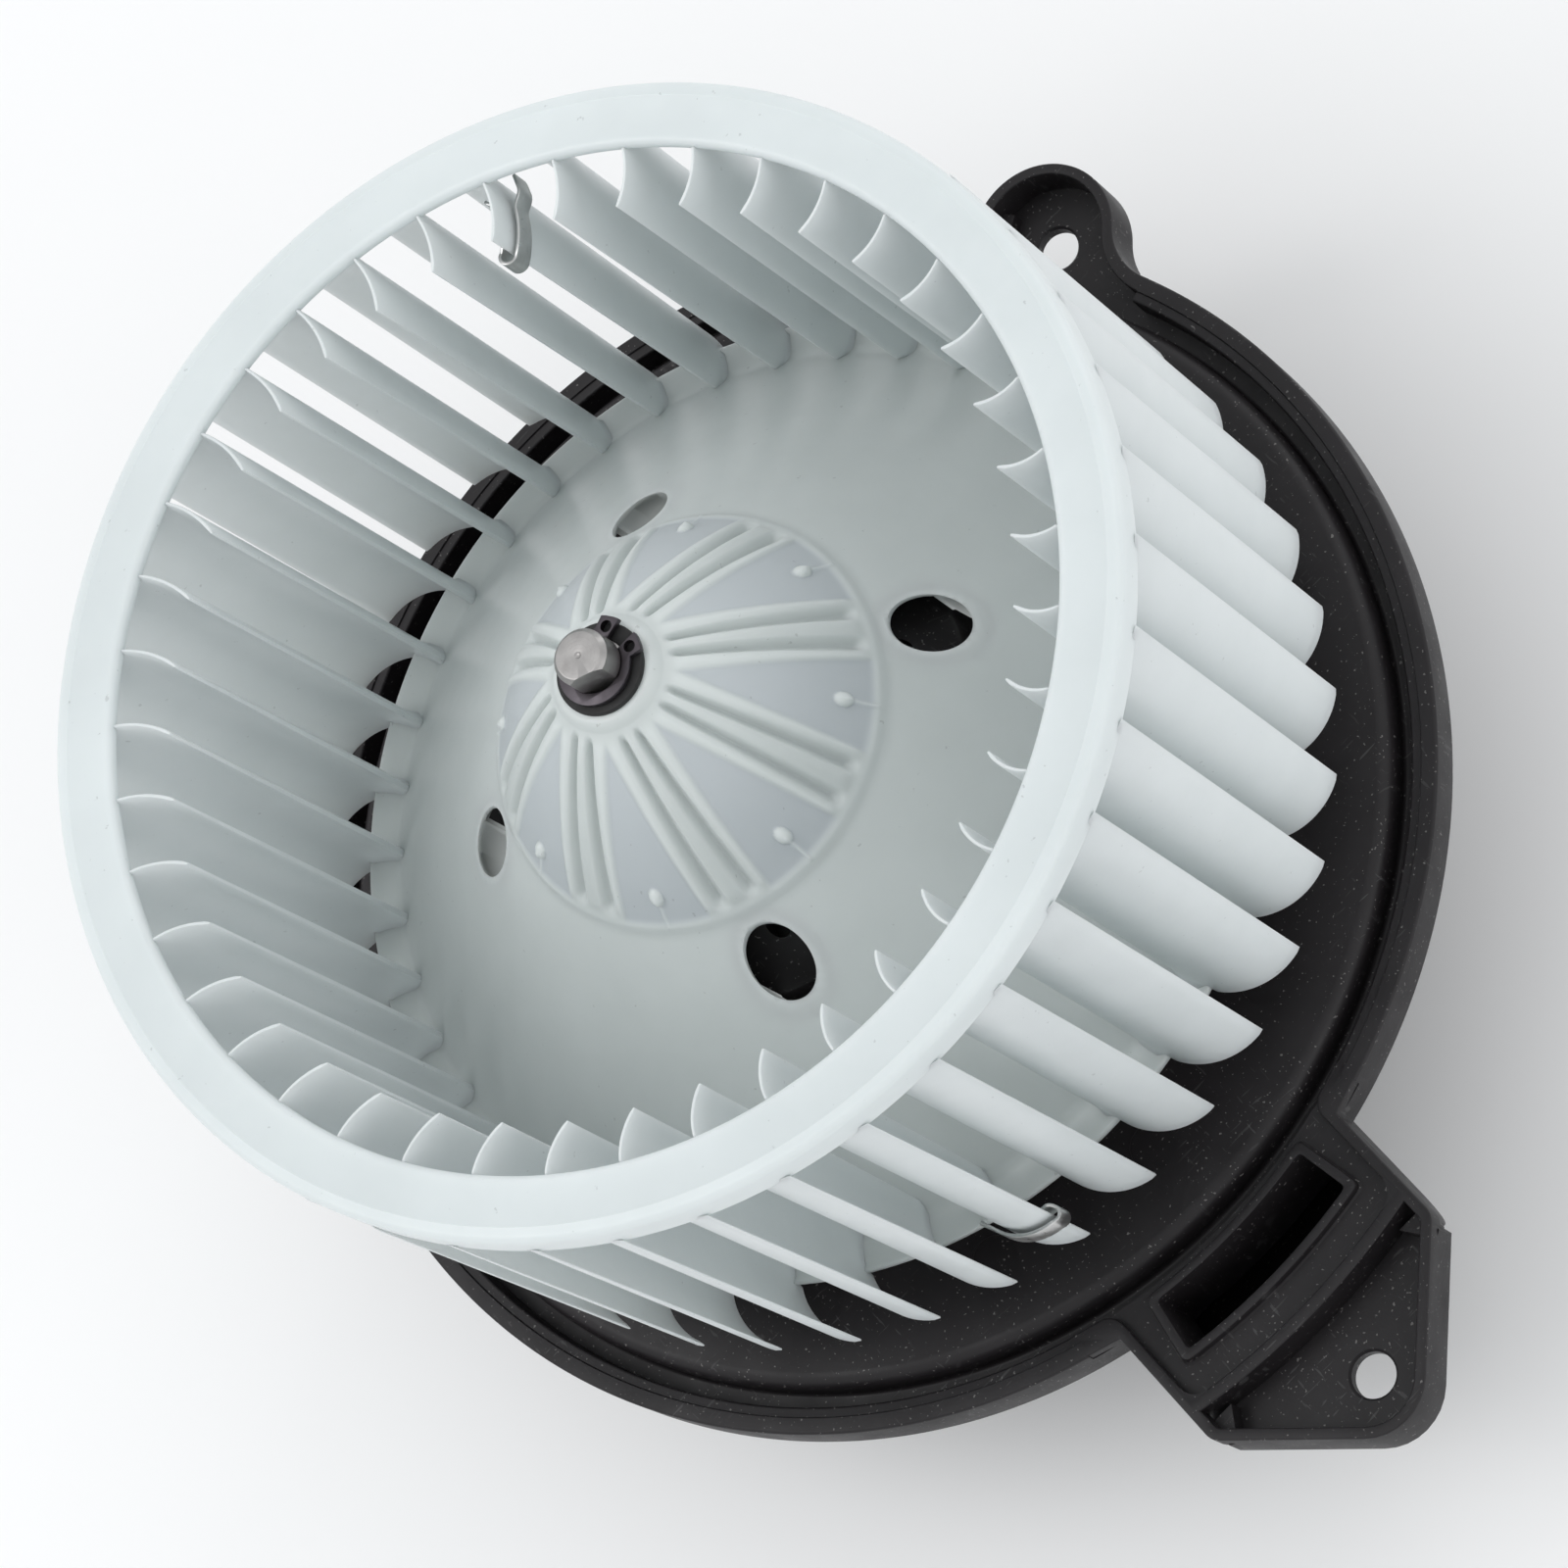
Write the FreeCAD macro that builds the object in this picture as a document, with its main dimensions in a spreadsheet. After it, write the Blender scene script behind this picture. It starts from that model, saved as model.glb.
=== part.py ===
import FreeCAD, Part
import Sketcher
import math
import os
import re

# Blower unit: a permanent-magnet motor held in a flanged housing, with a squirrel-cage wheel on its shaft.
# Millimetres, +Z up along the shaft, towards the wheel's air inlet.
# The origin is on the shaft axis, in the plane of the flange rim that seats against the heater case.

doc = FreeCAD.newDocument("blower_unit")
V = FreeCAD.Vector
Z_AXIS = V(0, 0, 1)

# ---------------------------------------------------------------------------------------------
# Driving dimensions

SIZES = {
    # wheel
    "wheel_radius": 80.0, "wheel_base": 13.0, "ring_top": 87.4, "ring_bottom": 82.0,
    "ring_bore": 70.5, "ring_round": 4.5, "ring_lip": 1.0, "ring_web": 2.4, "ring_skirt": 77.8,
    "blade_count": 41, "blade_phase": 6.2, "camber_radius": 10.6, "blade_thick": 1.3,
    "blade_foot_radius": 64.8, "blade_head_radius": 63.5, "blade_head_height": 84.4,
    "disc_radius": 71.6, "disc_underside": 14.5, "disc_top": 16.1, "cone_foot": 66.3,
    "cone_head": 30.4, "cone_head_height": 50.9, "dome_head": 8.4, "dome_head_height": 75.3,
    "dome_round": 90.0, "hub_wall": 1.9,
    "boss_radius": 7.5, "boss_top": 76.6, "boss_bottom": 57.6,
    "hub_hole_radius": 4.5, "hub_hole_circle": 35.75, "hub_hole_count": 4, "hub_hole_phase": 67.2,
    "hub_lip_wall": 1.2, "hub_lip_bottom": 33.0,
    # shaft and its fittings
    "shaft_radius": 4.0, "shaft_top": 83.5, "shaft_bottom": -43.5, "shaft_chamfer": 0.7,
    "flat_depth": 0.9, "flat_start": 56.0, "running_gap": 0.04,
    "circlip_thick": 1.0, "circlip_outer": 5.5, "lug_reach": 5.6,
    "lug_radius": 1.75, "lug_angle": 26.0, "lug_hole": 0.75,
    "washer_radius": 6.5, "washer_thick": 1.0,
    "clip_gauge": 0.5, "clip_gap": 2.0, "clip_width": 3.6, "head_clip_level": 77.8, "foot_clip_level": 19.4,
    # flange
    "rim_radius": 90.0, "rim_land": 4.0, "rim_depth": 7.0, "channel_width": 2.7, "channel_depth": 5.0,
    "plate_top": 0.5, "plate_thick": 2.5, "shoulder_round": 1.8, "shell_wall": 2.5,
    "cup_radius": 36.0, "cup_shoulder": 35.7, "cup_crown": 20.0, "cup_crown_height": 51.0,
    "cup_mouth": 7.0, "collar_bottom": -14.0,
    "ear_depth": 8.0, "ear_radius": 11.3, "ear_wall": 1.7, "ear_floor": 2.0, "screw_hole": 3.25,
    "side_ear_reach": 91.5, "side_ear_angle": 29.15,
    "duct_ear_reach": 115.4, "duct_ear_half": 21.7, "duct_ear_side_end": 107.6,
    "duct_ear_round": 8.5, "divider_radius": 105.4, "divider_wall": 2.0, "duct_ear_step": 1.5,
    "port_inner": 88.6, "port_outer": 97.0, "port_half_angle": 9.2, "port_lip": 1.1, "port_plate": 3.5,
    # cooling duct
    "duct_half": 19.2, "duct_wall": 1.6, "duct_outer_end": 99.0, "duct_inner_end": 40.0,
    "duct_floor": -31.0, "duct_roof": -17.0, "duct_throat": 84.0,
    "duct_screw_side": 23.2, "duct_screw_reach": 72.0, "duct_screw_radius": 1.3,
    # rear cover
    "cover_radius": 36.0, "cover_wall": 2.0, "cover_bottom": -50.0, "cover_ear_reach": 40.4,
    "cover_ear_radius": 5.0, "cover_screw_radius": 1.5,
    # motor
    "can_radius": 30.0, "can_wall": 1.6, "can_top": 34.0, "can_bottom": -34.0, "can_round": 4.0,
    "neck_radius": 9.6, "neck_top": 42.0, "plate_steel": 2.0, "rear_neck_bottom": -44.5,
    "bearing_radius": 7.6, "bearing_length": 7.0,
    "magnet_inner": 22.3, "magnet_outer": 28.2, "magnet_half_angle": 62.0, "magnet_half": 22.0,
    "armature_radius": 21.6, "armature_half": 17.0, "slot_count": 12,
    "commutator_radius": 10.5, "commutator_top": -21.0, "commutator_bottom": -33.0,
    "brush_width": 6.0, "brush_height": 7.0, "brush_length": 8.6, "brush_gap": 0.15,
    "brush_middle": -28.0, "holder_wall": 0.6, "holder_end": 26.6,
    "card_radius": 27.9, "card_top": -21.6, "card_thick": 2.2, "card_bore": 12.6,
    # connector
    "plug_width": 21.0, "plug_height": 11.0, "plug_start": 35.2, "plug_end": 52.0, "plug_level": -41.5,
    "plug_wall": 1.4, "blade_width": 6.3, "blade_gauge": 0.8, "blade_pitch": 10.0,
}

sheet = doc.addObject("Spreadsheet::Sheet", "Sizes")
for row, (alias, value) in enumerate(SIZES.items(), start=1):
    sheet.set("A%d" % row, alias)
    sheet.set("B%d" % row, str(value))
    sheet.setAlias("B%d" % row, alias)
doc.recompute()

ALIAS = re.compile(r"\b(" + "|".join(sorted(SIZES, key=len, reverse=True)) + r")\b")


def size(name):
    """A driving dimension, read from the sheet."""
    return float(sheet.get(name))


def linked(expression):
    """An expression in the sheet's aliases, as FreeCAD's expression engine wants it."""
    return ALIAS.sub(r"Sizes.\1", str(expression))


def amount(expression):
    """The present value of an expression in the sheet's aliases."""
    found = sheet.evalExpression(linked(expression))
    return float(getattr(found, "Value", found))


def bind(target, **sizes):
    """Tie an object's properties to expressions; Base_z stands for Placement.Base.z and so on."""
    for prop, expression in sizes.items():
        path = "Placement.Base." + prop[-1] if prop.startswith("Base_") else prop
        target.setExpression(path, linked(expression))
    return target


# ---------------------------------------------------------------------------------------------
# Sketch-based bodies. An outline is a list of corners (across, up), each a pair of expressions;
# a third entry makes the edge that arrives at that corner an arc of that radius, bulging to the
# right of its direction of travel, or to the left where the radius is negative.

def origin_plane(body, role):
    return [plane for plane in body.Origin.OriginFeatures if plane.Role == role][0]


def bulge_point(start, end, signed_radius):
    chord = end - start
    middle = (start + end) * 0.5
    radius = abs(signed_radius)
    rise = radius - math.sqrt(max(radius * radius - chord.Length ** 2 / 4, 0))
    left = V(-chord.y, chord.x, 0).normalize()
    return middle + left * (rise if signed_radius < 0 else -rise)


def outline_sketch(body, plane_role, outline):
    sketch = body.newObject("Sketcher::SketchObject", body.Name + "_outline")
    sketch.AttachmentSupport = (origin_plane(body, plane_role), "")
    sketch.MapMode = "FlatFace"
    corners = [V(amount(item[0]), amount(item[1]), 0) for item in outline]
    count = len(corners)
    arrives, leaves = [], []
    for index, item in enumerate(outline):
        start = corners[index - 1]
        end = corners[index]
        forward = True
        if len(item) == 3:
            radius = amount(item[2])
            middle = bulge_point(start, end, radius)
            forward = radius > 0
            arc = Part.Arc(start, middle, end) if forward else Part.Arc(end, middle, start)
            number = sketch.addGeometry(arc)
            bound = sketch.addConstraint(Sketcher.Constraint("Radius", number, abs(radius)))
            sketch.setExpression("Constraints[%d]" % bound, linked("abs(%s)" % item[2]))
        else:
            sketch.addGeometry(Part.LineSegment(start, end))
        arrives.append(2 if forward else 1)
        leaves.append(1 if forward else 2)
    for index in range(count):
        following = (index + 1) % count
        sketch.addConstraint(Sketcher.Constraint(
            "Coincident", index, arrives[index], following, leaves[following]))
    for index, item in enumerate(outline):
        for axis, expression in (("DistanceX", item[0]), ("DistanceY", item[1])):
            value = corners[index].x if axis == "DistanceX" else corners[index].y
            if abs(value) < 1e-9:
                line = -2 if axis == "DistanceX" else -1
                sketch.addConstraint(Sketcher.Constraint(
                    "PointOnObject", index, arrives[index], line))
                continue
            number = sketch.addConstraint(Sketcher.Constraint(axis, index, arrives[index], value))
            sketch.setExpression("Constraints[%d]" % number, linked(expression))
    return sketch


def turned(name, outline):
    """A body of revolution about the shaft axis."""
    body = doc.addObject("PartDesign::Body", name)
    sketch = outline_sketch(body, "XZ_Plane", outline)
    turn = body.newObject("PartDesign::Revolution", name + "_turn")
    turn.Profile = sketch
    turn.ReferenceAxis = (sketch, ["V_Axis"])
    turn.Angle = 360
    doc.recompute()
    return body



def cylinder(name, radius, bottom, height, x="0", y="0"):
    solid = doc.addObject("Part::Cylinder", name)
    return bind(solid, Radius=radius, Height=height, Base_x=x, Base_y=y, Base_z=bottom)


def block(name, low, high):
    """A box between two corners, each three expressions."""
    solid = doc.addObject("Part::Box", name)
    span = ["(%s) - (%s)" % (far, near) for near, far in zip(low, high)]
    return bind(solid, Length=span[0], Width=span[1], Height=span[2],
                Base_x=low[0], Base_y=low[1], Base_z=low[2])


def cut(name, base, tools):
    """base less every tool."""
    tool = tools[0]
    if len(tools) > 1:
        tool = doc.addObject("Part::MultiFuse", name + "_tools")
        tool.Shapes = tools
    result = doc.addObject("Part::Cut", name)
    result.Base = base
    result.Tool = tool
    return result




def shaped(name, solids):
    """An object whose shape is worked out here from the sheet's sizes."""
    target = doc.addObject("Part::Feature", name)
    target.Shape = solids[0] if len(solids) == 1 else Part.makeCompound(solids)
    return target


def around(solid, angles):
    """Copies of a solid turned about the shaft axis."""
    copies = []
    for angle in angles:
        copy = solid.copy()
        copy.rotate(V(0, 0, 0), Z_AXIS, angle)
        copies.append(copy)
    return copies


def tube(outer, inner, bottom, height, centre=(0, 0)):
    place = V(centre[0], centre[1], bottom)
    return Part.makeCylinder(outer, height, place).cut(Part.makeCylinder(inner, height, place))


COVER_SCREW_ANGLES = (0.0, 125.0, 235.0)
CARD_SCREW_ANGLES = (150.0, 330.0)

nodes = {}


def node(name, source):
    nodes[name] = source
    source.Label = name
    return source


# ---------------------------------------------------------------------------------------------
# Wheel: hub, blades and end ring

def wheel_hub_profile():
    boss = "boss_radius"
    bore = "shaft_radius + running_gap"
    return [
        (bore, "boss_bottom"),
        (boss, "boss_bottom"),
        (boss, "dome_head_height - hub_wall - 0.6"),
        ("cone_head - hub_wall * 0.8", "cone_head_height - hub_wall * 0.8", "-(dome_round - hub_wall)"),
        ("cone_foot - hub_wall", "disc_underside"),
        ("disc_radius", "disc_underside"),
        ("disc_radius", "disc_top"),
        ("cone_foot", "disc_top"),
        ("cone_head", "cone_head_height"),
        ("dome_head", "dome_head_height", "dome_round"),
        (boss, "boss_top"),
        (bore, "boss_top"),
    ]


def drive_flat(name, bottom, height, gap="0"):
    """The half-space beyond the shaft's flat, as a box tool turned to the flat's side."""
    solid = block(name, ("shaft_radius - flat_depth + " + gap, "-8", bottom),
                  ("shaft_radius * 3", "8", "%s + %s" % (bottom, height)))
    return solid


FLAT_ANGLE = -113.0


def hub_lips():
    """A short lip under the outer edge of each hole in the hub, ending inside the cone's wall."""
    radius = size("hub_hole_radius")
    circle = size("hub_hole_circle")
    low = size("hub_lip_bottom")
    inset = size("hub_wall") / 2
    height = size("cone_head_height") - size("disc_top")
    cone = Part.makeCone(size("cone_foot") - inset, size("cone_head") - inset, height, V(0, 0, size("disc_top")))
    sleeve = tube(radius + size("hub_lip_wall"), radius, low, height, (circle, 0))
    outward = Part.makeBox(2 * radius, 4 * radius, height, V(circle + radius * 0.4, -2 * radius, low))
    lip = sleeve.common(outward).common(cone)
    step = 360.0 / size("hub_hole_count")
    return around(lip, [size("hub_hole_phase") + step * k for k in range(int(size("hub_hole_count")))])


def build_wheel():
    blank = turned("hub_blank", wheel_hub_profile())
    holes = []
    for index in range(int(size("hub_hole_count"))):
        angle = "hub_hole_phase + %d * 360 / hub_hole_count" % index
        holes.append(cylinder("hub_hole_%d" % index, "hub_hole_radius", "disc_top", "ring_top",
                              x="hub_hole_circle * cos(%s)" % angle, y="hub_hole_circle * sin(%s)" % angle))
    hub = cut("hub", blank, holes)
    doc.recompute()
    node("wheel_hub", shaped("hub_with_lips", [hub.Shape.fuse(hub_lips()).removeSplitter()]))

    # end ring: a thin web with a skirt at its outer edge
    ring = turned("ring", [
        ("ring_bore + ring_lip", "ring_top - ring_web"),
        ("ring_skirt", "ring_top - ring_web"),
        ("ring_skirt", "ring_bottom"),
        ("wheel_radius", "ring_bottom"),
        ("wheel_radius", "ring_top - ring_round"),
        ("wheel_radius - ring_round", "ring_top", "ring_round"),
        ("ring_bore + ring_lip", "ring_top"),
        ("ring_bore", "ring_top - ring_lip", "ring_lip"),
        ("ring_bore", "ring_top - ring_web + ring_lip"),
    ])
    node("wheel_ring", ring)
    doc.recompute()

    # one blade: a thin crescent about the camber circle, thinner at its trailing tip
    radius = size("camber_radius")
    thick = size("blade_thick")
    outer = size("wheel_radius")
    middle = V(outer - radius - 0.4, radius, 0)
    start, finish = math.radians(-124), math.radians(-3)
    mean = (start + finish) / 2

    def rim(distance, angle):
        return middle + V(math.cos(angle), math.sin(angle), 0) * distance
    half = thick / 2
    tip = 0.3
    back = Part.Arc(rim(radius + half, start), rim(radius + half, mean), rim(radius + tip, finish))
    front = Part.Arc(rim(radius - half, start), rim(radius - half, mean), rim(radius - tip, finish))
    wire = Part.Wire([back.toShape(), Part.makeLine(rim(radius + tip, finish), rim(radius - tip, finish)),
                      front.toShape(), Part.makeLine(rim(radius - half, start), rim(radius + half, start))])
    base = size("wheel_base")
    section = Part.Face(wire)
    section.translate(V(0, 0, base))
    blade = section.extrude(V(0, 0, size("ring_top") - base))
    ring_bore = size("ring_bore")
    head = size("blade_head_height")
    under = size("ring_top") - size("ring_web")
    skirt = size("ring_skirt")
    envelope = Part.makePolygon([
        V(size("blade_foot_radius"), 0, base), V(outer, 0, base), V(outer, 0, size("ring_bottom")),
        V(skirt, 0, size("ring_bottom")), V(skirt, 0, under),
        V(ring_bore, 0, under), V(ring_bore, 0, size("ring_top") - 1.2),
        V(size("blade_head_radius"), 0, head), V(size("blade_foot_radius"), 0, base)])
    envelope = Part.Face(envelope).revolve(V(0, 0, 0), Z_AXIS, 360)
    blade = blade.common(envelope).cut(blank.Shape).cut(ring.Shape)
    solids = sorted(blade.Solids, key=lambda one: one.Volume)
    blade = solids[-1]
    count = int(size("blade_count"))
    tip_angle = math.degrees(math.atan2(rim(radius, finish).y, rim(radius, finish).x))
    phase = size("blade_phase") - tip_angle
    node("wheel_blades", shaped("blades", around(blade, [phase + i * 360.0 / count for i in range(count)])))
    return phase, middle


def build_balance_clips(phase, middle):
    """Two hairpins of spring strip: one round a blade's inner edge, one round another blade's tip."""
    radius = size("camber_radius")
    gauge = size("clip_gauge")
    half_gap = size("clip_gap") / 2
    width = size("clip_width")
    pitch = 360.0 / size("blade_count")

    def leg(inner, level, first, last):
        # one leg, bent to the blade's camber
        outer = Part.makeCylinder(inner + gauge, width, V(0, 0, level), Z_AXIS, last - first)
        bent = outer.cut(Part.makeCylinder(inner, width, V(0, 0, level)))
        bent.rotate(V(0, 0, 0), Z_AXIS, first)
        bent.translate(middle)
        return bent

    def hairpin(level, bend_angle, far_angle, blade_index):
        first, last = sorted((bend_angle, far_angle))
        legs = [leg(radius + half_gap, level, first, last),
                leg(radius - half_gap - gauge, level, first, last)]
        bend = Part.makeCylinder(half_gap + gauge, width, V(0, 0, level), Z_AXIS, 180)
        bend = bend.cut(Part.makeCylinder(half_gap, width, V(0, 0, level)))
        bend.rotate(V(0, 0, 0), Z_AXIS, bend_angle if far_angle < bend_angle else bend_angle + 180)
        turn = math.radians(bend_angle)
        bend.translate(middle + V(math.cos(turn), math.sin(turn), 0) * radius)
        clip = bend.fuse(legs).removeSplitter()
        clip.rotate(V(0, 0, 0), Z_AXIS, phase + blade_index * pitch)
        return clip
    head = hairpin(size("head_clip_level"), -124.0, -80.0, 7)
    foot = hairpin(size("foot_clip_level"), -3.0, -66.0, 29)
    node("balance_clips", shaped("clips", [head, foot]))


# ---------------------------------------------------------------------------------------------
# Shaft and what is fixed on it

def build_shaft():
    bar = turned("shaft_bar", [
        ("0", "shaft_bottom"),
        ("shaft_radius - shaft_chamfer", "shaft_bottom"),
        ("shaft_radius", "shaft_bottom + shaft_chamfer"),
        ("shaft_radius", "shaft_top - shaft_chamfer"),
        ("shaft_radius - shaft_chamfer", "shaft_top"),
        ("0", "shaft_top"),
    ])
    flat = drive_flat("shaft_flat", "flat_start", "40")
    shaft = cut("shaft_cut", bar, [flat])
    shaft.Placement = FreeCAD.Placement(V(0, 0, 0), FreeCAD.Rotation(Z_AXIS, FLAT_ANGLE))
    node("motor_shaft", shaft)

    grip = "shaft_radius + running_gap"
    washer = cut("washer_cut", cylinder("washer_disc", "washer_radius", "boss_top", "washer_thick"),
                 [cylinder("washer_bore", grip, "boss_top - 1", "washer_thick + 2")])
    node("hub_washer", washer)
    node("retaining_ring", shaped("circlip", [circlip(size("boss_top") + size("washer_thick") + 0.1, 6.0)]))
    node("stop_ring", shaped("lower_circlip", [circlip(size("boss_bottom") - size("circlip_thick") - 0.1, 186.0)]))


def circlip(level, gap_angle):
    """An external retaining ring with two eyed lugs beside its gap."""
    thick = size("circlip_thick")
    bore = size("shaft_radius") + size("running_gap")
    body = tube(size("circlip_outer"), bore, level, thick)
    lug_angle = size("lug_angle")
    for side in (-1, 1):
        angle = math.radians(side * lug_angle)
        x, y = size("lug_reach") * math.cos(angle), size("lug_reach") * math.sin(angle)
        body = body.fuse(Part.makeCylinder(size("lug_radius"), thick, V(x, y, level)))
    body = body.cut(Part.makeCylinder(bore, thick, V(0, 0, level)))
    wedge = Part.makeBox(9, 2.2, thick + 1, V(0, -1.1, level - 0.5))
    body = body.cut(wedge)
    for side in (-1, 1):
        angle = math.radians(side * lug_angle)
        x, y = size("lug_reach") * math.cos(angle), size("lug_reach") * math.sin(angle)
        body = body.cut(Part.makeCylinder(size("lug_hole"), thick, V(x, y, level)))
    body.rotate(V(0, 0, 0), Z_AXIS, gap_angle)
    return body.removeSplitter()


# ---------------------------------------------------------------------------------------------
# Flange housing

def flange_profile():
    land_inner = "rim_radius - rim_land"
    shoulder = "rim_radius - rim_land - channel_width"
    under = "plate_top - plate_thick"
    return [
        ("cup_mouth", "cup_crown_height - shell_wall"),
        ("cup_crown - 1", "cup_crown_height - shell_wall"),
        ("cup_radius - shell_wall", "cup_shoulder - 1"),
        ("cup_radius - shell_wall", "collar_bottom"),
        ("cup_radius", "collar_bottom"),
        ("cup_radius", under),
        (shoulder + " - 2.5", under),
        (shoulder + " - 2.5", "-rim_depth"),
        ("rim_radius - 0.8", "-rim_depth"),
        ("rim_radius", "-rim_depth + 0.8", "0.8"),
        ("rim_radius", "-0.8"),
        ("rim_radius - 0.8", "0", "0.8"),
        (land_inner + " + 1.6", "0"),
        (land_inner + " + 1.6", "-0.6"),
        (land_inner, "-0.6"),
        (land_inner, "-channel_depth"),
        (shoulder, "-channel_depth"),
        (shoulder, "plate_top - shoulder_round"),
        (shoulder + " - shoulder_round", "plate_top", "shoulder_round"),
        ("cup_radius + 3", "plate_top"),
        ("cup_radius", "plate_top + 3", "-3"),
        ("cup_radius", "cup_shoulder"),
        ("cup_crown", "cup_crown_height"),
        ("cup_mouth", "cup_crown_height"),
    ]


def ear_prism(level, height, inset):
    """The duct ear's outline: parallel sides, then two 45 degree edges that meet in a round nose."""
    half = size("duct_ear_half") - inset
    side_end = size("duct_ear_side_end") - inset * 0.414
    nose = max(size("duct_ear_round") - inset, 1.0)
    apex = side_end + half
    spread = nose / math.sqrt(2)
    centre = apex - nose * math.sqrt(2)
    start = 80.0
    left = V(-spread, -(centre + spread), 0)
    right = V(spread, -(centre + spread), 0)
    edges = [
        Part.makeLine(V(-half, -start, 0), V(-half, -side_end, 0)),
        Part.makeLine(V(-half, -side_end, 0), left),
        Part.Arc(left, V(0, -(centre + nose), 0), right).toShape(),
        Part.makeLine(right, V(half, -side_end, 0)),
        Part.makeLine(V(half, -side_end, 0), V(half, -start, 0)),
        Part.makeLine(V(half, -start, 0), V(-half, -start, 0)),
    ]
    face = Part.Face(Part.Wire(edges))
    face.translate(V(0, 0, level))
    return face.extrude(V(0, 0, height))


def sector(inner, outer, half_angle, level, height, direction=-90.0):
    """A block bounded by two arcs about the shaft axis and two radial planes."""
    ring = tube(outer, inner, level, height)
    span = outer * 1.6
    tangent = math.tan(math.radians(half_angle)) * span
    wedge = Part.makePolygon([V(0, 0, level), V(span, -tangent, level), V(span, tangent, level), V(0, 0, level)])
    wedge = Part.Face(wedge).extrude(V(0, 0, height))
    block_shape = ring.common(wedge)
    block_shape.rotate(V(0, 0, 0), Z_AXIS, direction)
    return block_shape


def build_flange():
    blank = turned("flange_blank", flange_profile())
    rim = size("rim_radius")
    depth = size("ear_depth")
    wall = size("ear_wall")
    floor = -depth + size("ear_floor")
    land = rim - size("rim_land")
    shoulder = land - size("channel_width")
    base = blank.Shape.copy()
    core = Part.makeCylinder(shoulder - 0.3, 60, V(0, 0, -30))

    # side ears: round lugs that flow into the rim, each with a sunk screw seat
    reach = size("side_ear_reach")
    ear = size("ear_radius")
    root = 84.0
    blend = 9.0
    lug = Part.makeCylinder(ear, depth, V(reach, 0, -depth))
    web = Part.makeBox(12, 2 * ear + 12, depth, V(root - 6, -ear - 6, -depth)).common(
        Part.makeCylinder(rim + 5.5, depth, V(0, 0, -depth)))
    for side in (-1, 1):
        web = web.cut(Part.makeCylinder(blend, depth, V(rim + 5.6, side * (ear + blend - 1.2), -depth)))
    pocket = Part.makeCylinder(ear - wall, depth, V(reach, 0, floor))
    pocket = pocket.fuse(Part.makeBox(7.2, 2 * (ear - wall), depth, V(reach - 7.2, -(ear - wall), floor)))
    hole = Part.makeCylinder(size("screw_hole"), 3 * depth, V(reach, 0, -2 * depth))
    slot = Part.makeBox(3.4, 1.1, depth, V(reach + 0.5, -(ear - wall) + 0.6, -depth - 1))
    angles = (size("side_ear_angle"), 180 - size("side_ear_angle"))
    ears = around(lug.fuse(web).cut(core), angles)
    pockets = around(pocket.cut(core), angles) + around(hole, angles) + around(slot, angles)

    # duct ear: air port with a raised lip, an arc wall, then the sunk screw seat
    plate = size("port_plate")
    thin = Part.makeCylinder(size("divider_radius") - size("divider_wall"), depth - plate, V(0, 0, -depth))
    body = ear_prism(-depth, depth, 0).cut([core, thin])
    inside = ear_prism(-depth, 3 * depth, wall)
    divider = size("divider_radius")
    seat_depth = depth - size("ear_floor")
    seat = inside.cut(Part.makeCylinder(divider, 60, V(0, 0, -30)))
    seat.translate(V(0, 0, depth - seat_depth))
    port_half = size("port_half_angle")
    lip = size("port_lip")
    port_low, port_high = size("port_inner"), size("port_outer")
    step = size("duct_ear_step")
    tray = inside.common(tube(divider - size("divider_wall"), land, -depth, 3 * depth))
    tray.translate(V(0, 0, depth - step))
    lip_angle = math.degrees(lip / port_high)
    tray = tray.cut(sector(port_low - lip, port_high + lip, port_half + lip_angle, -step, step - 0.3))
    port = sector(port_low, port_high, port_half, -40, 60)
    # the short neck below the port that the cooling duct plugs onto
    neck_half = port_half + math.degrees(1.4 / port_high)
    neck = sector(port_low - 1.4, port_high + 1.4, neck_half, -depth - 5, depth + 5 - plate + 0.5)
    duct_hole = Part.makeCylinder(size("screw_hole"), 3 * depth, V(0, -size("duct_ear_reach"), -2 * depth))

    solid = base.fuse(ears + [body, neck])
    solid = solid.cut(pockets + [seat, tray, port, duct_hole])

    # bosses under the plate for the rear cover's screws, and vents in the crown of the cup
    pilot = size("cover_screw_radius") - 0.25
    boss_height = size("plate_top") - size("plate_thick") - size("collar_bottom") + 0.5
    place = V(size("cover_ear_reach"), 0, size("collar_bottom"))
    bosses = around(Part.makeCylinder(size("cover_ear_radius"), boss_height, place).cut(
        Part.makeCylinder(size("cup_radius") - 1, 60, V(0, 0, -30))), COVER_SCREW_ANGLES)
    pilots = around(Part.makeCylinder(pilot, 10, place), COVER_SCREW_ANGLES)
    for side in (-1, 1):
        foot = V(side * size("duct_screw_side"), -size("duct_screw_reach"), size("duct_roof") + 0.1)
        bosses.append(Part.makeCylinder(3.8, -foot.z, foot))
        pilots.append(Part.makeCylinder(size("duct_screw_radius") + 0.05, 8, foot))
    vents = around(Part.makeCylinder(1.7, 30, V(29.0, 0, 30)), [22.5 + 45 * k for k in range(8)])
    solid = solid.fuse(bosses).cut(pilots + vents).removeSplitter()
    node("flange_housing", shaped("flange", [solid]))


# ---------------------------------------------------------------------------------------------
# Cooling duct, rear cover and connector

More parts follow.
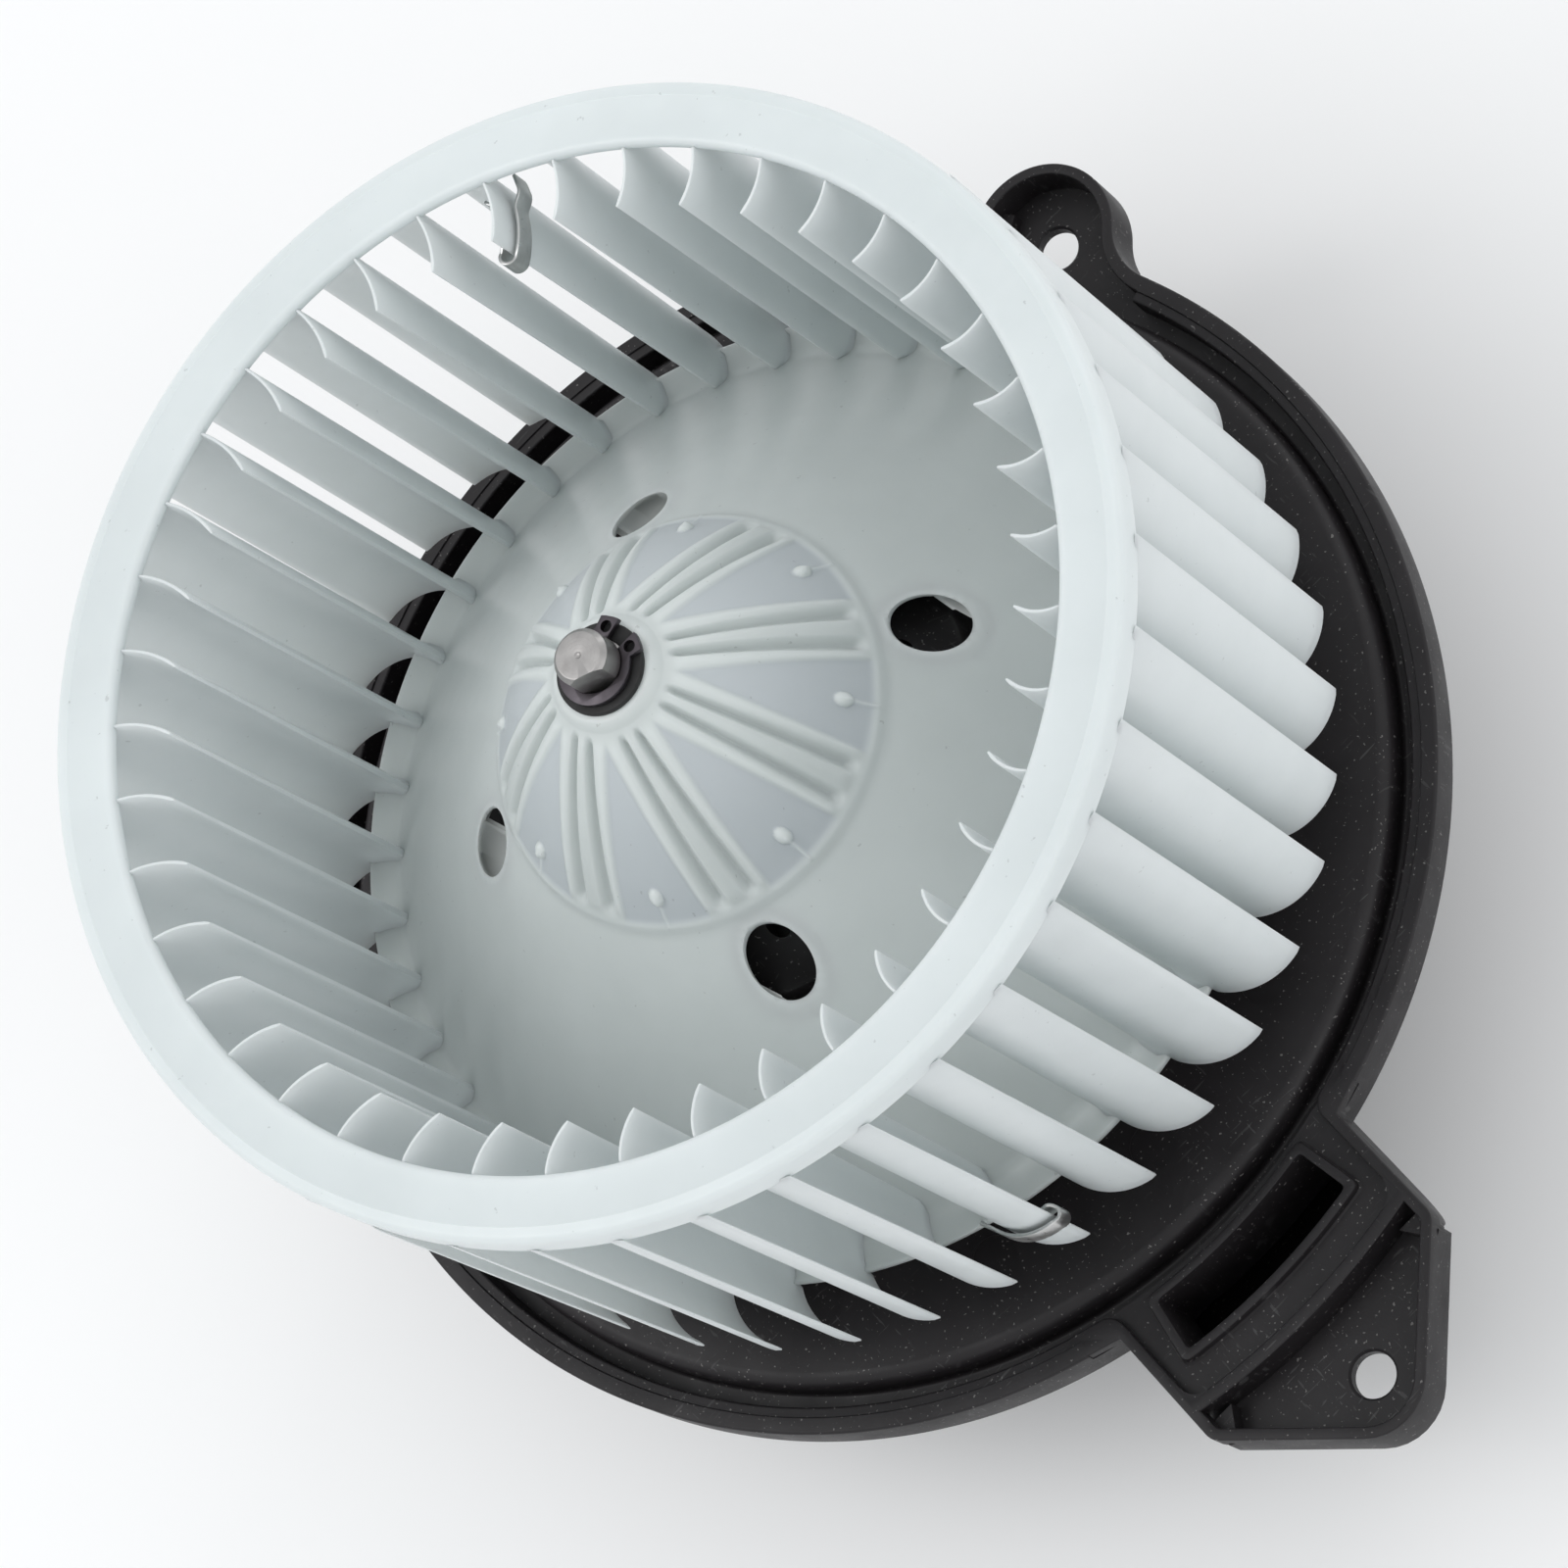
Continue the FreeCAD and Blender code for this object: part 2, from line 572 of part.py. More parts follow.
def build_duct():
    half = size("duct_half")
    wall = size("duct_wall")
    outer_end, inner_end = size("duct_outer_end") + 1.4, size("duct_inner_end")
    floor, roof = size("duct_floor"), size("duct_roof")
    throat = size("duct_throat")
    top = -size("port_plate") - 0.1
    bend = 9.0
    upright = Part.makeBox(2 * half, outer_end - throat, top - floor, V(-half, -outer_end, floor))
    run = Part.makeBox(2 * half, outer_end - inner_end, roof - floor, V(-half, -outer_end, floor))
    shell = upright.fuse(run).removeSplitter()
    heel = [edge for edge in shell.Edges
            if abs(edge.BoundBox.ZMin - floor) < 1e-3 and abs(edge.BoundBox.ZMax - floor) < 1e-3
            and abs(edge.BoundBox.YMax + outer_end) < 1e-3]
    shell = shell.makeFillet(bend, heel)
    air_up = Part.makeBox(2 * (half - wall), outer_end - throat - 2 * wall, 60,
                          V(-half + wall, -outer_end + wall, floor + wall))
    air_run = Part.makeBox(2 * (half - wall), outer_end, roof - floor - 2 * wall,
                           V(-half + wall, -outer_end + wall, floor + wall))
    air = air_up.fuse(air_run)
    inner_heel = [edge for edge in air.Edges
                  if abs(edge.BoundBox.ZMin - floor - wall) < 1e-3
                  and abs(edge.BoundBox.ZMax - floor - wall) < 1e-3
                  and abs(edge.BoundBox.YMax + outer_end - wall) < 1e-3]
    air = air.makeFillet(bend - wall, inner_heel)
    # the upright clears the rim, and two tabs take the duct's own screws
    rim = Part.makeCylinder(size("rim_radius") + 0.3, 30, V(0, 0, -size("rim_depth") - 0.1))
    seats = [V(side * size("duct_screw_side"), -size("duct_screw_reach"), roof - 2.4) for side in (-1, 1)]
    shank = size("duct_screw_radius")
    ears = [Part.makeCylinder(4.0, 2.4, seat) for seat in seats]
    ears += [Part.makeBox(5.2, 8.0, 2.4, seat + V(-2.6 - side * 2.6, -4, 0)) for side, seat in zip((-1, 1), seats)]
    holes = [Part.makeCylinder(shank + 0.3, 8, seat - V(0, 0, 2.6)) for seat in seats]
    duct = shell.fuse(ears).cut([air, rim] + holes).removeSplitter()
    node("cooling_duct", shaped("duct", [duct]))
    return [pan_screw(seat, shank, 2.3, 6.8) for seat in seats]


def pan_screw(seat, shank, head, length):
    """A pan-head screw driven upwards from its seat, with a cross recess."""
    body = Part.makeCylinder(shank, length, seat)
    cap = Part.makeCylinder(head, 1.7, seat - V(0, 0, 1.7))
    cap = cap.makeFillet(0.9, [edge for edge in cap.Edges if abs(edge.BoundBox.ZMax - seat.z + 1.7) < 1e-3
                               and edge.BoundBox.XLength > head])
    screw = body.fuse(cap).removeSplitter()
    for angle in (0, 90):
        slot = Part.makeBox(2.2, 0.5, 0.9, V(-1.1, -0.25, 0))
        slot.rotate(V(0, 0, 0), Z_AXIS, angle)
        slot.translate(seat - V(0, 0, 1.7))
        screw = screw.cut(slot)
    return screw


def build_rear_cover():
    outline = [
        ("0", "cover_bottom"),
        ("cover_radius - 3", "cover_bottom"),
        ("cover_radius", "cover_bottom + 3", "3"),
        ("cover_radius", "collar_bottom - 0.1"),
        ("cover_radius - cover_wall", "collar_bottom - 0.1"),
        ("cover_radius - cover_wall", "cover_bottom + cover_wall + 1"),
        ("cover_radius - cover_wall - 1", "cover_bottom + cover_wall"),
        ("0", "cover_bottom + cover_wall"),
    ]
    cup = turned("cover_cup", outline).Shape.copy()
    radius = size("cover_radius")
    top = size("collar_bottom") - 0.1
    ear = Part.makeCylinder(size("cover_ear_radius"), 3, V(size("cover_ear_reach"), 0, top - 3))
    ear = ear.fuse(Part.makeBox(8, 10, 3, V(radius - 3, -5, top - 3)))
    ear = ear.cut(Part.makeCylinder(radius - 1, 40, V(0, 0, -60)))
    hole = Part.makeCylinder(size("cover_screw_radius") + 0.3, 12, V(size("cover_ear_reach"), 0, top - 6))
    # nozzle that the cooling duct slides over
    half = size("duct_half") - size("duct_wall") - 0.2
    low = size("duct_floor") + size("duct_wall") + 0.2
    high = size("duct_roof") - size("duct_wall") - 0.2
    end = size("duct_inner_end") + 5
    nozzle = Part.makeBox(2 * half, end - 30, high - low, V(-half, -end, low))
    nozzle = nozzle.cut(Part.makeCylinder(radius - 1, 40, V(0, 0, -60)))
    passage = Part.makeBox(2 * half - 2.4, end, high - low - 2.4, V(-half + 1.2, -end - 1, low + 1.2))
    # window for the connector, and three pads that the unit stands on
    width, height = size("plug_width"), size("plug_height")
    level = size("plug_level")
    window = Part.makeBox(width + 0.2, 30, height + 0.2,
                          V(-width / 2 - 0.1, 20, level - height / 2 - 0.1))
    ribs = around(Part.makeBox(12, 1.6, 2.2, V(14, -0.8, size("cover_bottom") + size("cover_wall") - 0.2)),
                  [30 + 60 * k for k in range(6)])
    vent = around(Part.makeCylinder(1.6, 6, V(10.5, 0, size("cover_bottom") - 1)), [60 * k for k in range(6)])
    solid = cup.fuse(around(ear, COVER_SCREW_ANGLES) + [nozzle] + ribs)
    solid = solid.cut(around(hole, COVER_SCREW_ANGLES) + [passage, window] + vent).removeSplitter()
    node("rear_cover", shaped("cover", [solid]))
    seat = V(size("cover_ear_reach"), 0, top - 3)
    screws = around(pan_screw(seat, size("cover_screw_radius") - 0.3, 2.8, 10.5), COVER_SCREW_ANGLES)
    node("cover_screws", shaped("cover_screw_set", screws))


def build_connector():
    width, height = size("plug_width"), size("plug_height")
    level, wall = size("plug_level"), size("plug_wall")
    start, end = size("plug_start") - 3.4, size("plug_end")
    shell = Part.makeBox(width, end - start, height, V(-width / 2, start, level - height / 2))
    flange = Part.makeBox(width + 4, 1.6, height + 3.4, V(-width / 2 - 2, 36.2, level - height / 2 - 1.7))
    cavity = Part.makeBox(width - 2 * wall, end - start, height - 2 * wall,
                          V(-width / 2 + wall, start + 4.2, level - height / 2 + wall))
    key = Part.makeBox(1.4, 11, 1.2, V(-0.7, end - 13, level + height / 2))
    shell = shell.fuse([flange, key]).cut(cavity)
    blades = []
    gauge, blade_width = size("blade_gauge"), size("blade_width")
    for side in (-1, 1):
        x = side * size("blade_pitch") / 2
        blade = Part.makeBox(gauge, 25.5, blade_width, V(x - gauge / 2, 23, level - blade_width / 2))
        upright = Part.makeBox(gauge, 2.6, 12.2, V(x - gauge / 2, 23, level))
        blades.append(blade.fuse(upright).removeSplitter())
        slot = Part.makeBox(gauge + 0.1, 60, blade_width + 0.1,
                            V(x - gauge / 2 - 0.05, 0, level - blade_width / 2 - 0.05))
        shell = shell.cut(slot)
    node("connector_shell", shaped("connector", [shell.removeSplitter()]))
    node("terminals", shaped("terminal_pair", blades))


# ---------------------------------------------------------------------------------------------
# Motor: can, end plate, bearings and magnets

def build_motor_case():
    can = turned("can", [
        ("shaft_radius + 1.4", "neck_top"),
        ("shaft_radius + 1.4", "neck_top - 1.4"),
        ("bearing_radius + 0.9", "neck_top - 1.4"),
        ("bearing_radius + 0.9", "can_top - can_wall"),
        ("can_radius - can_round", "can_top - can_wall"),
        ("can_radius - can_wall", "can_top - can_round", "-(can_round - can_wall)"),
        ("can_radius - can_wall", "can_bottom"),
        ("can_radius", "can_bottom"),
        ("can_radius", "can_top - can_round"),
        ("can_radius - can_round", "can_top", "can_round"),
        ("neck_radius + 0.6", "can_top"),
        ("neck_radius + 0.6", "neck_top"),
    ])
    windows = [cylinder("can_window_%d" % k, "3.2", "can_top - 6", "12",
                        x="19 * cos(%d)" % (45 + 90 * k), y="19 * sin(%d)" % (45 + 90 * k)) for k in range(4)]
    node("motor_can", cut("can_vented", can, windows))

    plate = turned("rear_plate", [
        ("bearing_radius + 0.9", "can_bottom - plate_steel"),
        ("bearing_radius + 0.9", "rear_neck_bottom + 1.4"),
        ("shaft_radius + 1.4", "rear_neck_bottom + 1.4"),
        ("shaft_radius + 1.4", "rear_neck_bottom"),
        ("neck_radius + 0.6", "rear_neck_bottom"),
        ("neck_radius + 0.6", "can_bottom - plate_steel - 0.1"),
        ("can_radius", "can_bottom - plate_steel - 0.1"),
        ("can_radius", "can_bottom - 0.1"),
        ("bearing_radius + 0.9", "can_bottom - 0.1"),
    ])
    slots = [block("plate_window", ("-8", "20", "can_bottom - 6"), ("8", "27", "can_bottom + 2")),
             block("plate_window_rear", ("-8", "-27", "can_bottom - 6"), ("8", "-18", "can_bottom + 2"))]
    slots += [cylinder("rivet_hole_%d" % k, "1.6", "can_bottom - 6", "12",
                       x="24 * cos(%d)" % angle, y="24 * sin(%d)" % angle)
              for k, angle in enumerate(CARD_SCREW_ANGLES)]
    node("end_plate", cut("plate_slotted", plate, slots))

    def bush(name, bottom):
        return node(name, turned(name + "_bush", [
            ("shaft_radius + running_gap", bottom),
            ("bearing_radius - 2", bottom),
            ("bearing_radius", bottom + " + bearing_length / 2", "bearing_length * 0.9"),
            ("bearing_radius - 2", bottom + " + bearing_length", "bearing_length * 0.9"),
            ("shaft_radius + running_gap", bottom + " + bearing_length"),
        ]))
    bush("front_bearing", "neck_top - 1.5 - bearing_length")
    bush("rear_bearing", "rear_neck_bottom + 1.5")

    def retainer(level):
        """A dished spring disc with tongues that presses a bearing into its seat."""
        disc = tube(size("bearing_radius") + 0.8, 6.2, level, 0.5)
        notches = [Part.makeBox(1.2, 1.6, 2, V(6.0, -0.8, level - 1))]
        return disc.cut(around(notches[0], [60 * k for k in range(6)]))
    front = size("neck_top") - 1.5 - size("bearing_length") - 0.6
    rear = size("rear_neck_bottom") + 1.5 + size("bearing_length") + 0.1
    node("front_bearing_retainer", shaped("front_retainer", [retainer(front)]))
    node("rear_bearing_retainer", shaped("rear_retainer", [retainer(rear)]))

    inner, outer = size("magnet_inner"), size("magnet_outer")
    half = size("magnet_half")
    magnets = [sector(inner, outer, size("magnet_half_angle"), -half + 4, 2 * half, side) for side in (0, 180)]
    node("magnets", shaped("magnet_pair", magnets))
    # bowed leaf springs that push the two magnets apart
    clips = []
    for side in (90, 270):
        wedge = sector(outer - 1.1, outer - 0.3, 90 - size("magnet_half_angle") - 3.5, -half + 8, 2 * half - 8, side)
        clips.append(wedge)
    node("magnet_springs", shaped("magnet_spring_pair", clips))

    rubber = size("cup_radius") - size("shell_wall") - 0.1
    node("upper_damper", shaped("upper_rubber", [damper(rubber, 22.0)]))
    node("lower_damper", shaped("lower_rubber", [damper(rubber, -12.0)]))


def damper(outer, level):
    """A rubber ring with six pads that centres the can in the cup."""
    inner = size("can_radius") + 0.1
    ring = tube(inner + 1.4, inner, level, 7)
    pads = around(Part.makeCylinder(2.6, 7, V(outer - 2.6, 0, level)), [60 * k for k in range(6)])
    ring = ring.fuse(pads).cut(Part.makeCylinder(inner, 7, V(0, 0, level)))
    return ring.removeSplitter()


# ---------------------------------------------------------------------------------------------
# Rotor: core, winding, commutator and thrust washers

def build_rotor():
    core_radius = size("armature_radius")
    half = size("armature_half")
    count = int(size("slot_count"))
    bore = size("shaft_radius") + 0.01
    step = 360.0 / count
    middle = 4.0
    slot = Part.makeCylinder(2.9, 2 * half, V(15.2, 0, middle - half))
    mouth = Part.makeBox(8, 1.6, 2 * half, V(16, -0.8, middle - half))
    core = tube(core_radius, bore, middle - half, 2 * half)
    core = core.cut(around(slot.fuse(mouth), [step * k for k in range(count)]))
    node("armature_core", shaped("core", [core]))

    bar = Part.makeCylinder(2.7, 2 * half + 1, V(15.2, 0, middle - half - 0.5))
    ends = []
    for level in (middle - half - 6.5, middle + half + 0.2):
        coil = tube(18.6, 8.4, level, 6.3)
        rims = [edge for edge in coil.Edges if edge.BoundBox.XLength > 30]
        ends.append(coil.makeFillet(2.2, rims))
    winding = ends[0].fuse(around(bar, [step * k for k in range(count)]) + [ends[1]]).removeSplitter()
    node("armature_winding", shaped("winding", [winding]))

    top, bottom = size("commutator_top"), size("commutator_bottom")
    radius = size("commutator_radius")
    bars = []
    for k in range(count):
        piece = sector(7.2, radius, step / 2 - 1.3, bottom, top - bottom, step * k)
        bars.append(piece)
    node("commutator_bars", shaped("bars", bars))
    hub = tube(7.15, bore, bottom - 0.8, top - bottom + 1.6)
    node("commutator_hub", shaped("commutator_moulding", [hub]))

    def washer(level):
        return tube(6.0, size("shaft_radius") + 0.01, level, 0.8)
    front = size("neck_top") - 1.5 - size("bearing_length") - 1.0
    rear = size("rear_neck_bottom") + 1.5 + size("bearing_length") + 0.3
    node("thrust_washers", shaped("washer_pair", [washer(front), washer(rear)]))
    node("oil_slinger", shaped("slinger", [tube(6.0, bore, size("neck_top") + 1.2, 0.8)]))


# ---------------------------------------------------------------------------------------------
# Brush gear

def build_brush_gear():
    card_top = size("card_top")
    thick = size("card_thick")
    card = tube(size("card_radius"), size("card_bore"), card_top - thick, thick)
    notch = Part.makeBox(16, 8, 6, V(-8, 20, card_top - 4))
    posts = around(Part.makeCylinder(3.0, card_top - thick - size("can_bottom"), V(24.0, 0, size("can_bottom"))),
                   CARD_SCREW_ANGLES)
    card = card.cut([notch]).fuse(posts).removeSplitter()
    card = card.cut(around(Part.makeCylinder(1.55, 30, V(24.0, 0, size("can_bottom") - 1)), CARD_SCREW_ANGLES))
    node("brush_card", shaped("card", [card]))

    width, height = size("brush_width"), size("brush_height")
    wall = size("holder_wall")
    level = size("brush_middle")
    slack = 0.12
    start = size("commutator_radius") + 0.9
    end = size("holder_end")
    outer = Part.makeBox(end - start, width + 2 * (wall + slack), height + 2 * (wall + slack) - 0.3,
                         V(start, -width / 2 - wall - slack, level - height / 2 - wall - slack))
    bore = Part.makeBox(end - start - wall, width + 2 * slack, height + 2 * slack,
                        V(start, -width / 2 - slack, level - height / 2 - slack))
    pigtail_slot = Part.makeBox(end - start - 4, 1.6, 3, V(start + 1.5, -0.8, level - height / 2 - 2))
    holder = outer.cut([bore, pigtail_slot])
    node("brush_holders", shaped("holders", around(holder, (0, 180))))

    face = size("commutator_radius") + size("brush_gap")
    length = size("brush_length")
    brush = Part.makeBox(length + 2, width, height, V(face - 2, -width / 2, level - height / 2))
    brush = brush.cut(Part.makeCylinder(face, 40, V(0, 0, level - 20)))
    tail = face + length
    spring_end = end - wall
    turns = 5
    for name, angle in (("a", 0), ("b", 180)):
        node("brush_" + name, shaped("brush_block_" + name, around(brush, (angle,))))
        coil = brush_spring(tail, spring_end, level, turns)
        node("brush_spring_" + name, shaped("spring_" + name, around(coil, (angle,))))

    # interference chokes and a suppression capacitor stand on the card
    chokes, rods = [], []
    for side in (-1, 1):
        place = V(side * 14.5, -16.0, card_top - thick - 9.6)
        chokes.append(tube(3.2, 1.9, place.z, 9.0, (place.x, place.y)))
        rods.append(Part.makeCylinder(1.8, 9.6, place))
    node("choke_coils", shaped("choke_pair", chokes))
    node("choke_cores", shaped("choke_rods", rods))
    capacitor = Part.makeBox(4.2, 6.4, 8.0, V(12.5, 12.6, card_top - thick - 8.0))
    node("capacitor", shaped("capacitor_block", [capacitor.makeFillet(0.8, capacitor.Edges)]))
    rivet_level = size("can_bottom") - size("plate_steel") - 0.1
    bolt = pan_screw(V(24.0, 0, rivet_level), 1.5, 2.6, 13.5)
    node("brush_card_screws", shaped("card_screws", around(bolt, CARD_SCREW_ANGLES)))


def brush_spring(start, end, level, turns):
    """A small compression spring lying along the brush, as stacked rings joined by a spine."""
    wire = 0.35
    radius = 2.2
    pitch = (end - start - 2 * wire) / (turns - 1)
    rings = []
    for turn in range(turns):
        ring = Part.makeTorus(radius, wire, V(start + wire + turn * pitch, 0, level), V(1, 0, 0))
        rings.append(ring)
    spine = Part.makeCylinder(wire * 0.9, end - start - 2 * wire, V(start + wire, radius, level), V(1, 0, 0))
    return rings[0].fuse(rings[1:] + [spine])


# ---------------------------------------------------------------------------------------------

def build():
    phase, middle = build_wheel()
    build_balance_clips(phase, middle)
    build_shaft()
    build_flange()
    duct_screws = build_duct()
    node("duct_screws", shaped("duct_screw_pair", duct_screws))
    build_rear_cover()
    build_connector()
    build_motor_case()
    build_rotor()
    build_brush_gear()
    doc.recompute()


def check():
    for item in doc.Objects:
        if "Invalid" in item.State or "Error" in item.State:
            raise RuntimeError("%s failed: %s" % (item.Name, item.State))
    for name, source in nodes.items():
        shape = source.Shape
        if shape.isNull() or not shape.isValid() or shape.Volume <= 0:
            raise RuntimeError("node %s has a bad shape" % name)


def write():
    os.makedirs("parts", exist_ok=True)
    for name, source in nodes.items():
        source.Shape.exportStep(os.path.join("parts", name + ".step"))
        print("%-24s %10.1f mm3  %d solid(s)" % (name, source.Shape.Volume, len(source.Shape.Solids)))


build()
check()
write()
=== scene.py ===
from math import atan2, ceil, cos, degrees, hypot, pi, radians, sin, sqrt, tan

import bmesh
import bpy
import numpy as np
from mathutils import Matrix, Vector


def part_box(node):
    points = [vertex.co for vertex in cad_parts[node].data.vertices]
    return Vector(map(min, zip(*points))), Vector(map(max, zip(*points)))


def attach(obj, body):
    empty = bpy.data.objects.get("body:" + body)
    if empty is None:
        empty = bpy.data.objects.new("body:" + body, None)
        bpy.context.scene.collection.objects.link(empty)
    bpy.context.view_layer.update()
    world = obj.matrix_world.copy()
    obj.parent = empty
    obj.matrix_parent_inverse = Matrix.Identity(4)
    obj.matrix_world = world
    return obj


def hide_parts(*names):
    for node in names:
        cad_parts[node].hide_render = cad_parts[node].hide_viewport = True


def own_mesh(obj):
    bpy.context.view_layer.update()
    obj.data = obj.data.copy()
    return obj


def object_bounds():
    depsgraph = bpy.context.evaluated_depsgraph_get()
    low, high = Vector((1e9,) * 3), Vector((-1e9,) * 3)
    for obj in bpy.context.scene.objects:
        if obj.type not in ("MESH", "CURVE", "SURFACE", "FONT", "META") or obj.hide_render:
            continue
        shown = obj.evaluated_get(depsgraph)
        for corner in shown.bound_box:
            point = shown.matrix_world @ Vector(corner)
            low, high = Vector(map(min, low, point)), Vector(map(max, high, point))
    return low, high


# The looks of a blower unit: wheel, shaft and fittings, flange housing, cover, duct, connector and motor.
# Shapes are worked out in millimetres in the row's frame and scaled to metres as each mesh is made.

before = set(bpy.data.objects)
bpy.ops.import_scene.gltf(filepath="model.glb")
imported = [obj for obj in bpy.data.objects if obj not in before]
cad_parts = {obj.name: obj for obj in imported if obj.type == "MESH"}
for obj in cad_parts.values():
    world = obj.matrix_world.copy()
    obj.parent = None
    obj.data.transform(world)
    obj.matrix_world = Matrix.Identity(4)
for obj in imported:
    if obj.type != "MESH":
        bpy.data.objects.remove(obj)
cad_low, cad_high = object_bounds()
MM = 0.001
SCENE = bpy.context.scene


def node_span(node):
    """Lowest and highest corner of a CAD node, in millimetres."""
    low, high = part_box(node)
    return [value / MM for value in low], [value / MM for value in high]


# ---- Plane outlines

def polar(radius, angle, x=0.0, y=0.0):
    """The point at a distance and an angle in degrees from a centre."""
    return x + radius * cos(radians(angle)), y + radius * sin(radians(angle))


def circle(radius, count, x=0.0, y=0.0):
    return [polar(radius, 360.0 * i / count, x, y) for i in range(count)]


def arc(x, y, radius, start, end, step=6.0):
    """Points along an arc, ends included; angles in degrees."""
    count = max(2, int(ceil(abs(end - start) / step)))
    return [polar(radius, start + (end - start) * i / count, x, y) for i in range(count + 1)]


def rounded(corners, closed=True, pieces=6):
    """Corners (x, y, radius) with each one replaced by an arc of that radius."""
    points = []
    count = len(corners)
    for i, (x, y, radius) in enumerate(corners):
        is_end = not closed and i in (0, count - 1)
        if radius <= 0 or is_end:
            points.append((x, y))
            continue
        here = Vector((x, y))
        before = Vector(corners[i - 1][:2]) - here
        after = Vector(corners[(i + 1) % count][:2]) - here
        half = before.angle(after) / 2
        reach = min(radius / tan(half), before.length * 0.49, after.length * 0.49)
        radius = reach * tan(half)
        before.normalize()
        after.normalize()
        middle = here + (before + after).normalized() * (radius / sin(half))
        first = here + before * reach - middle
        last = here + after * reach - middle
        turn = atan2(first.x * last.y - first.y * last.x, first.dot(last))
        begin = atan2(first.y, first.x)
        for k in range(pieces + 1):
            angle = begin + turn * k / pieces
            points.append((middle.x + radius * cos(angle), middle.y + radius * sin(angle)))
    return points


def cast(outline, centre, count, start=0.0):
    """Where count evenly spread rays from centre leave a closed outline."""
    pts = np.array(outline, float) - np.array(centre, float)
    nxt = np.roll(pts, -1, axis=0)
    edge = nxt - pts
    result = []
    for k in range(count):
        angle = start + 2 * pi * k / count
        ray = np.array((cos(angle), sin(angle)))
        cross = ray[0] * edge[:, 1] - ray[1] * edge[:, 0]
        safe = np.where(np.abs(cross) < 1e-12, 1e-12, cross)
        along = (pts[:, 0] * edge[:, 1] - pts[:, 1] * edge[:, 0]) / safe
        share = (pts[:, 0] * ray[1] - pts[:, 1] * ray[0]) / safe
        good = (along > 0) & (share > -1e-9) & (share < 1 + 1e-9)
        distance = along[good].max()
        result.append((centre[0] + ray[0] * distance, centre[1] + ray[1] * distance))
    return result


# ---- Meshes

class Shell:
    """Vertices in millimetres and faces, gathered before they become one mesh."""

    def __init__(self):
        self.points = []
        self.faces = []

    def loop(self, points):
        first = len(self.points)
        self.points.extend(tuple(float(v) for v in p) for p in points)
        return list(range(first, first + len(points)))

    def bridge(self, a, b):
        for i in range(len(a)):
            j = (i + 1) % len(a)
            self.faces.append((a[i], a[j], b[j], b[i]))

    def loft(self, loops, ring=False, capped=False):
        """Skin over a row of closed loops; ring joins the last to the first, capped closes both ends."""
        rows = [self.loop(points) for points in loops]
        for a, b in zip(rows, rows[1:]):
            self.bridge(a, b)
        if ring:
            self.bridge(rows[-1], rows[0])
        if capped:
            self.faces.append(tuple(reversed(rows[0])))
            self.faces.append(tuple(rows[-1]))

    def mesh(self, name):
        mesh = bpy.data.meshes.new(name)
        mesh.from_pydata((np.array(self.points) * MM).tolist(), [], self.faces)
        work = bmesh.new()
        work.from_mesh(mesh)
        bmesh.ops.remove_doubles(work, verts=work.verts, dist=0.001 * MM)
        bmesh.ops.recalc_face_normals(work, faces=work.faces)
        work.to_mesh(mesh)
        work.free()
        return mesh


def finish_mesh(mesh, sharp=35.0):
    mesh.polygons.foreach_set("use_smooth", [True] * len(mesh.polygons))
    mesh.set_sharp_from_angle(angle=radians(sharp))
    mesh.update()
    return mesh


def place(name, mesh, material, body, node, sharp=35.0):
    """Shows a mesh in a CAD node's place, as a piece that rides on a body."""
    finish_mesh(mesh, sharp)
    piece = bpy.data.objects.new(name, mesh)
    SCENE.collection.objects.link(piece)
    mesh.materials.clear()
    mesh.materials.append(material)
    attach(piece, body)
    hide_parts(node)
    return piece


def temporary(mesh):
    piece = bpy.data.objects.new("work", mesh)
    SCENE.collection.objects.link(piece)
    return piece


def settle(piece):
    """The mesh that a temporary object's modifiers make; the object is removed."""
    graph = bpy.context.evaluated_depsgraph_get()
    result = bpy.data.meshes.new_from_object(piece.evaluated_get(graph))
    bpy.data.objects.remove(piece)
    return result


def combine(base, others, operation="UNION"):
    """base with other closed meshes joined to it or cut out of it."""
    for other in others:
        target = temporary(base)
        tool = temporary(other)
        change = target.modifiers.new("combine", "BOOLEAN")
        change.operation = operation
        change.solver = "MANIFOLD"
        change.object = tool
        bpy.context.view_layer.update()
        base = settle(target)
        bpy.data.objects.remove(tool)
    return base


def bevelled(mesh, width, limit=35.0, segments=2):
    """A mesh with its sharp edges rounded off; width in millimetres."""
    target = temporary(mesh)
    change = target.modifiers.new("round", "BEVEL")
    change.width = width * MM
    change.segments = segments
    change.limit_method = "ANGLE"
    change.angle_limit = radians(limit)
    bpy.context.view_layer.update()
    return settle(target)


def turned(profile, segments=256, start=0.0, sweep=360.0):
    """A closed profile of (radius, height) swept about the shaft axis, with end faces if it stops short."""
    whole = abs(sweep) >= 360.0
    shell = Shell()
    loops = []
    for i in range(segments if whole else segments + 1):
        angle = radians(start + sweep * i / segments)
        loops.append([(r * cos(angle), r * sin(angle), z) for r, z in profile])
    shell.loft(loops, ring=whole, capped=not whole)
    return shell


def lift(outline, z):
    """A plane outline as points at one height."""
    return [(x, y, z) for x, y in outline]


def prism(outline, bottom, top):
    shell = Shell()
    shell.loft([lift(outline, bottom), lift(outline, top)], capped=True)
    return shell


def box(low, high):
    x0, y0, z0 = low
    x1, y1, z1 = high
    return prism([(x0, y0), (x1, y0), (x1, y1), (x0, y1)], z0, z1)


def rod(radius, bottom, top, x=0.0, y=0.0, count=48):
    return prism(circle(radius, count, x, y), bottom, top)


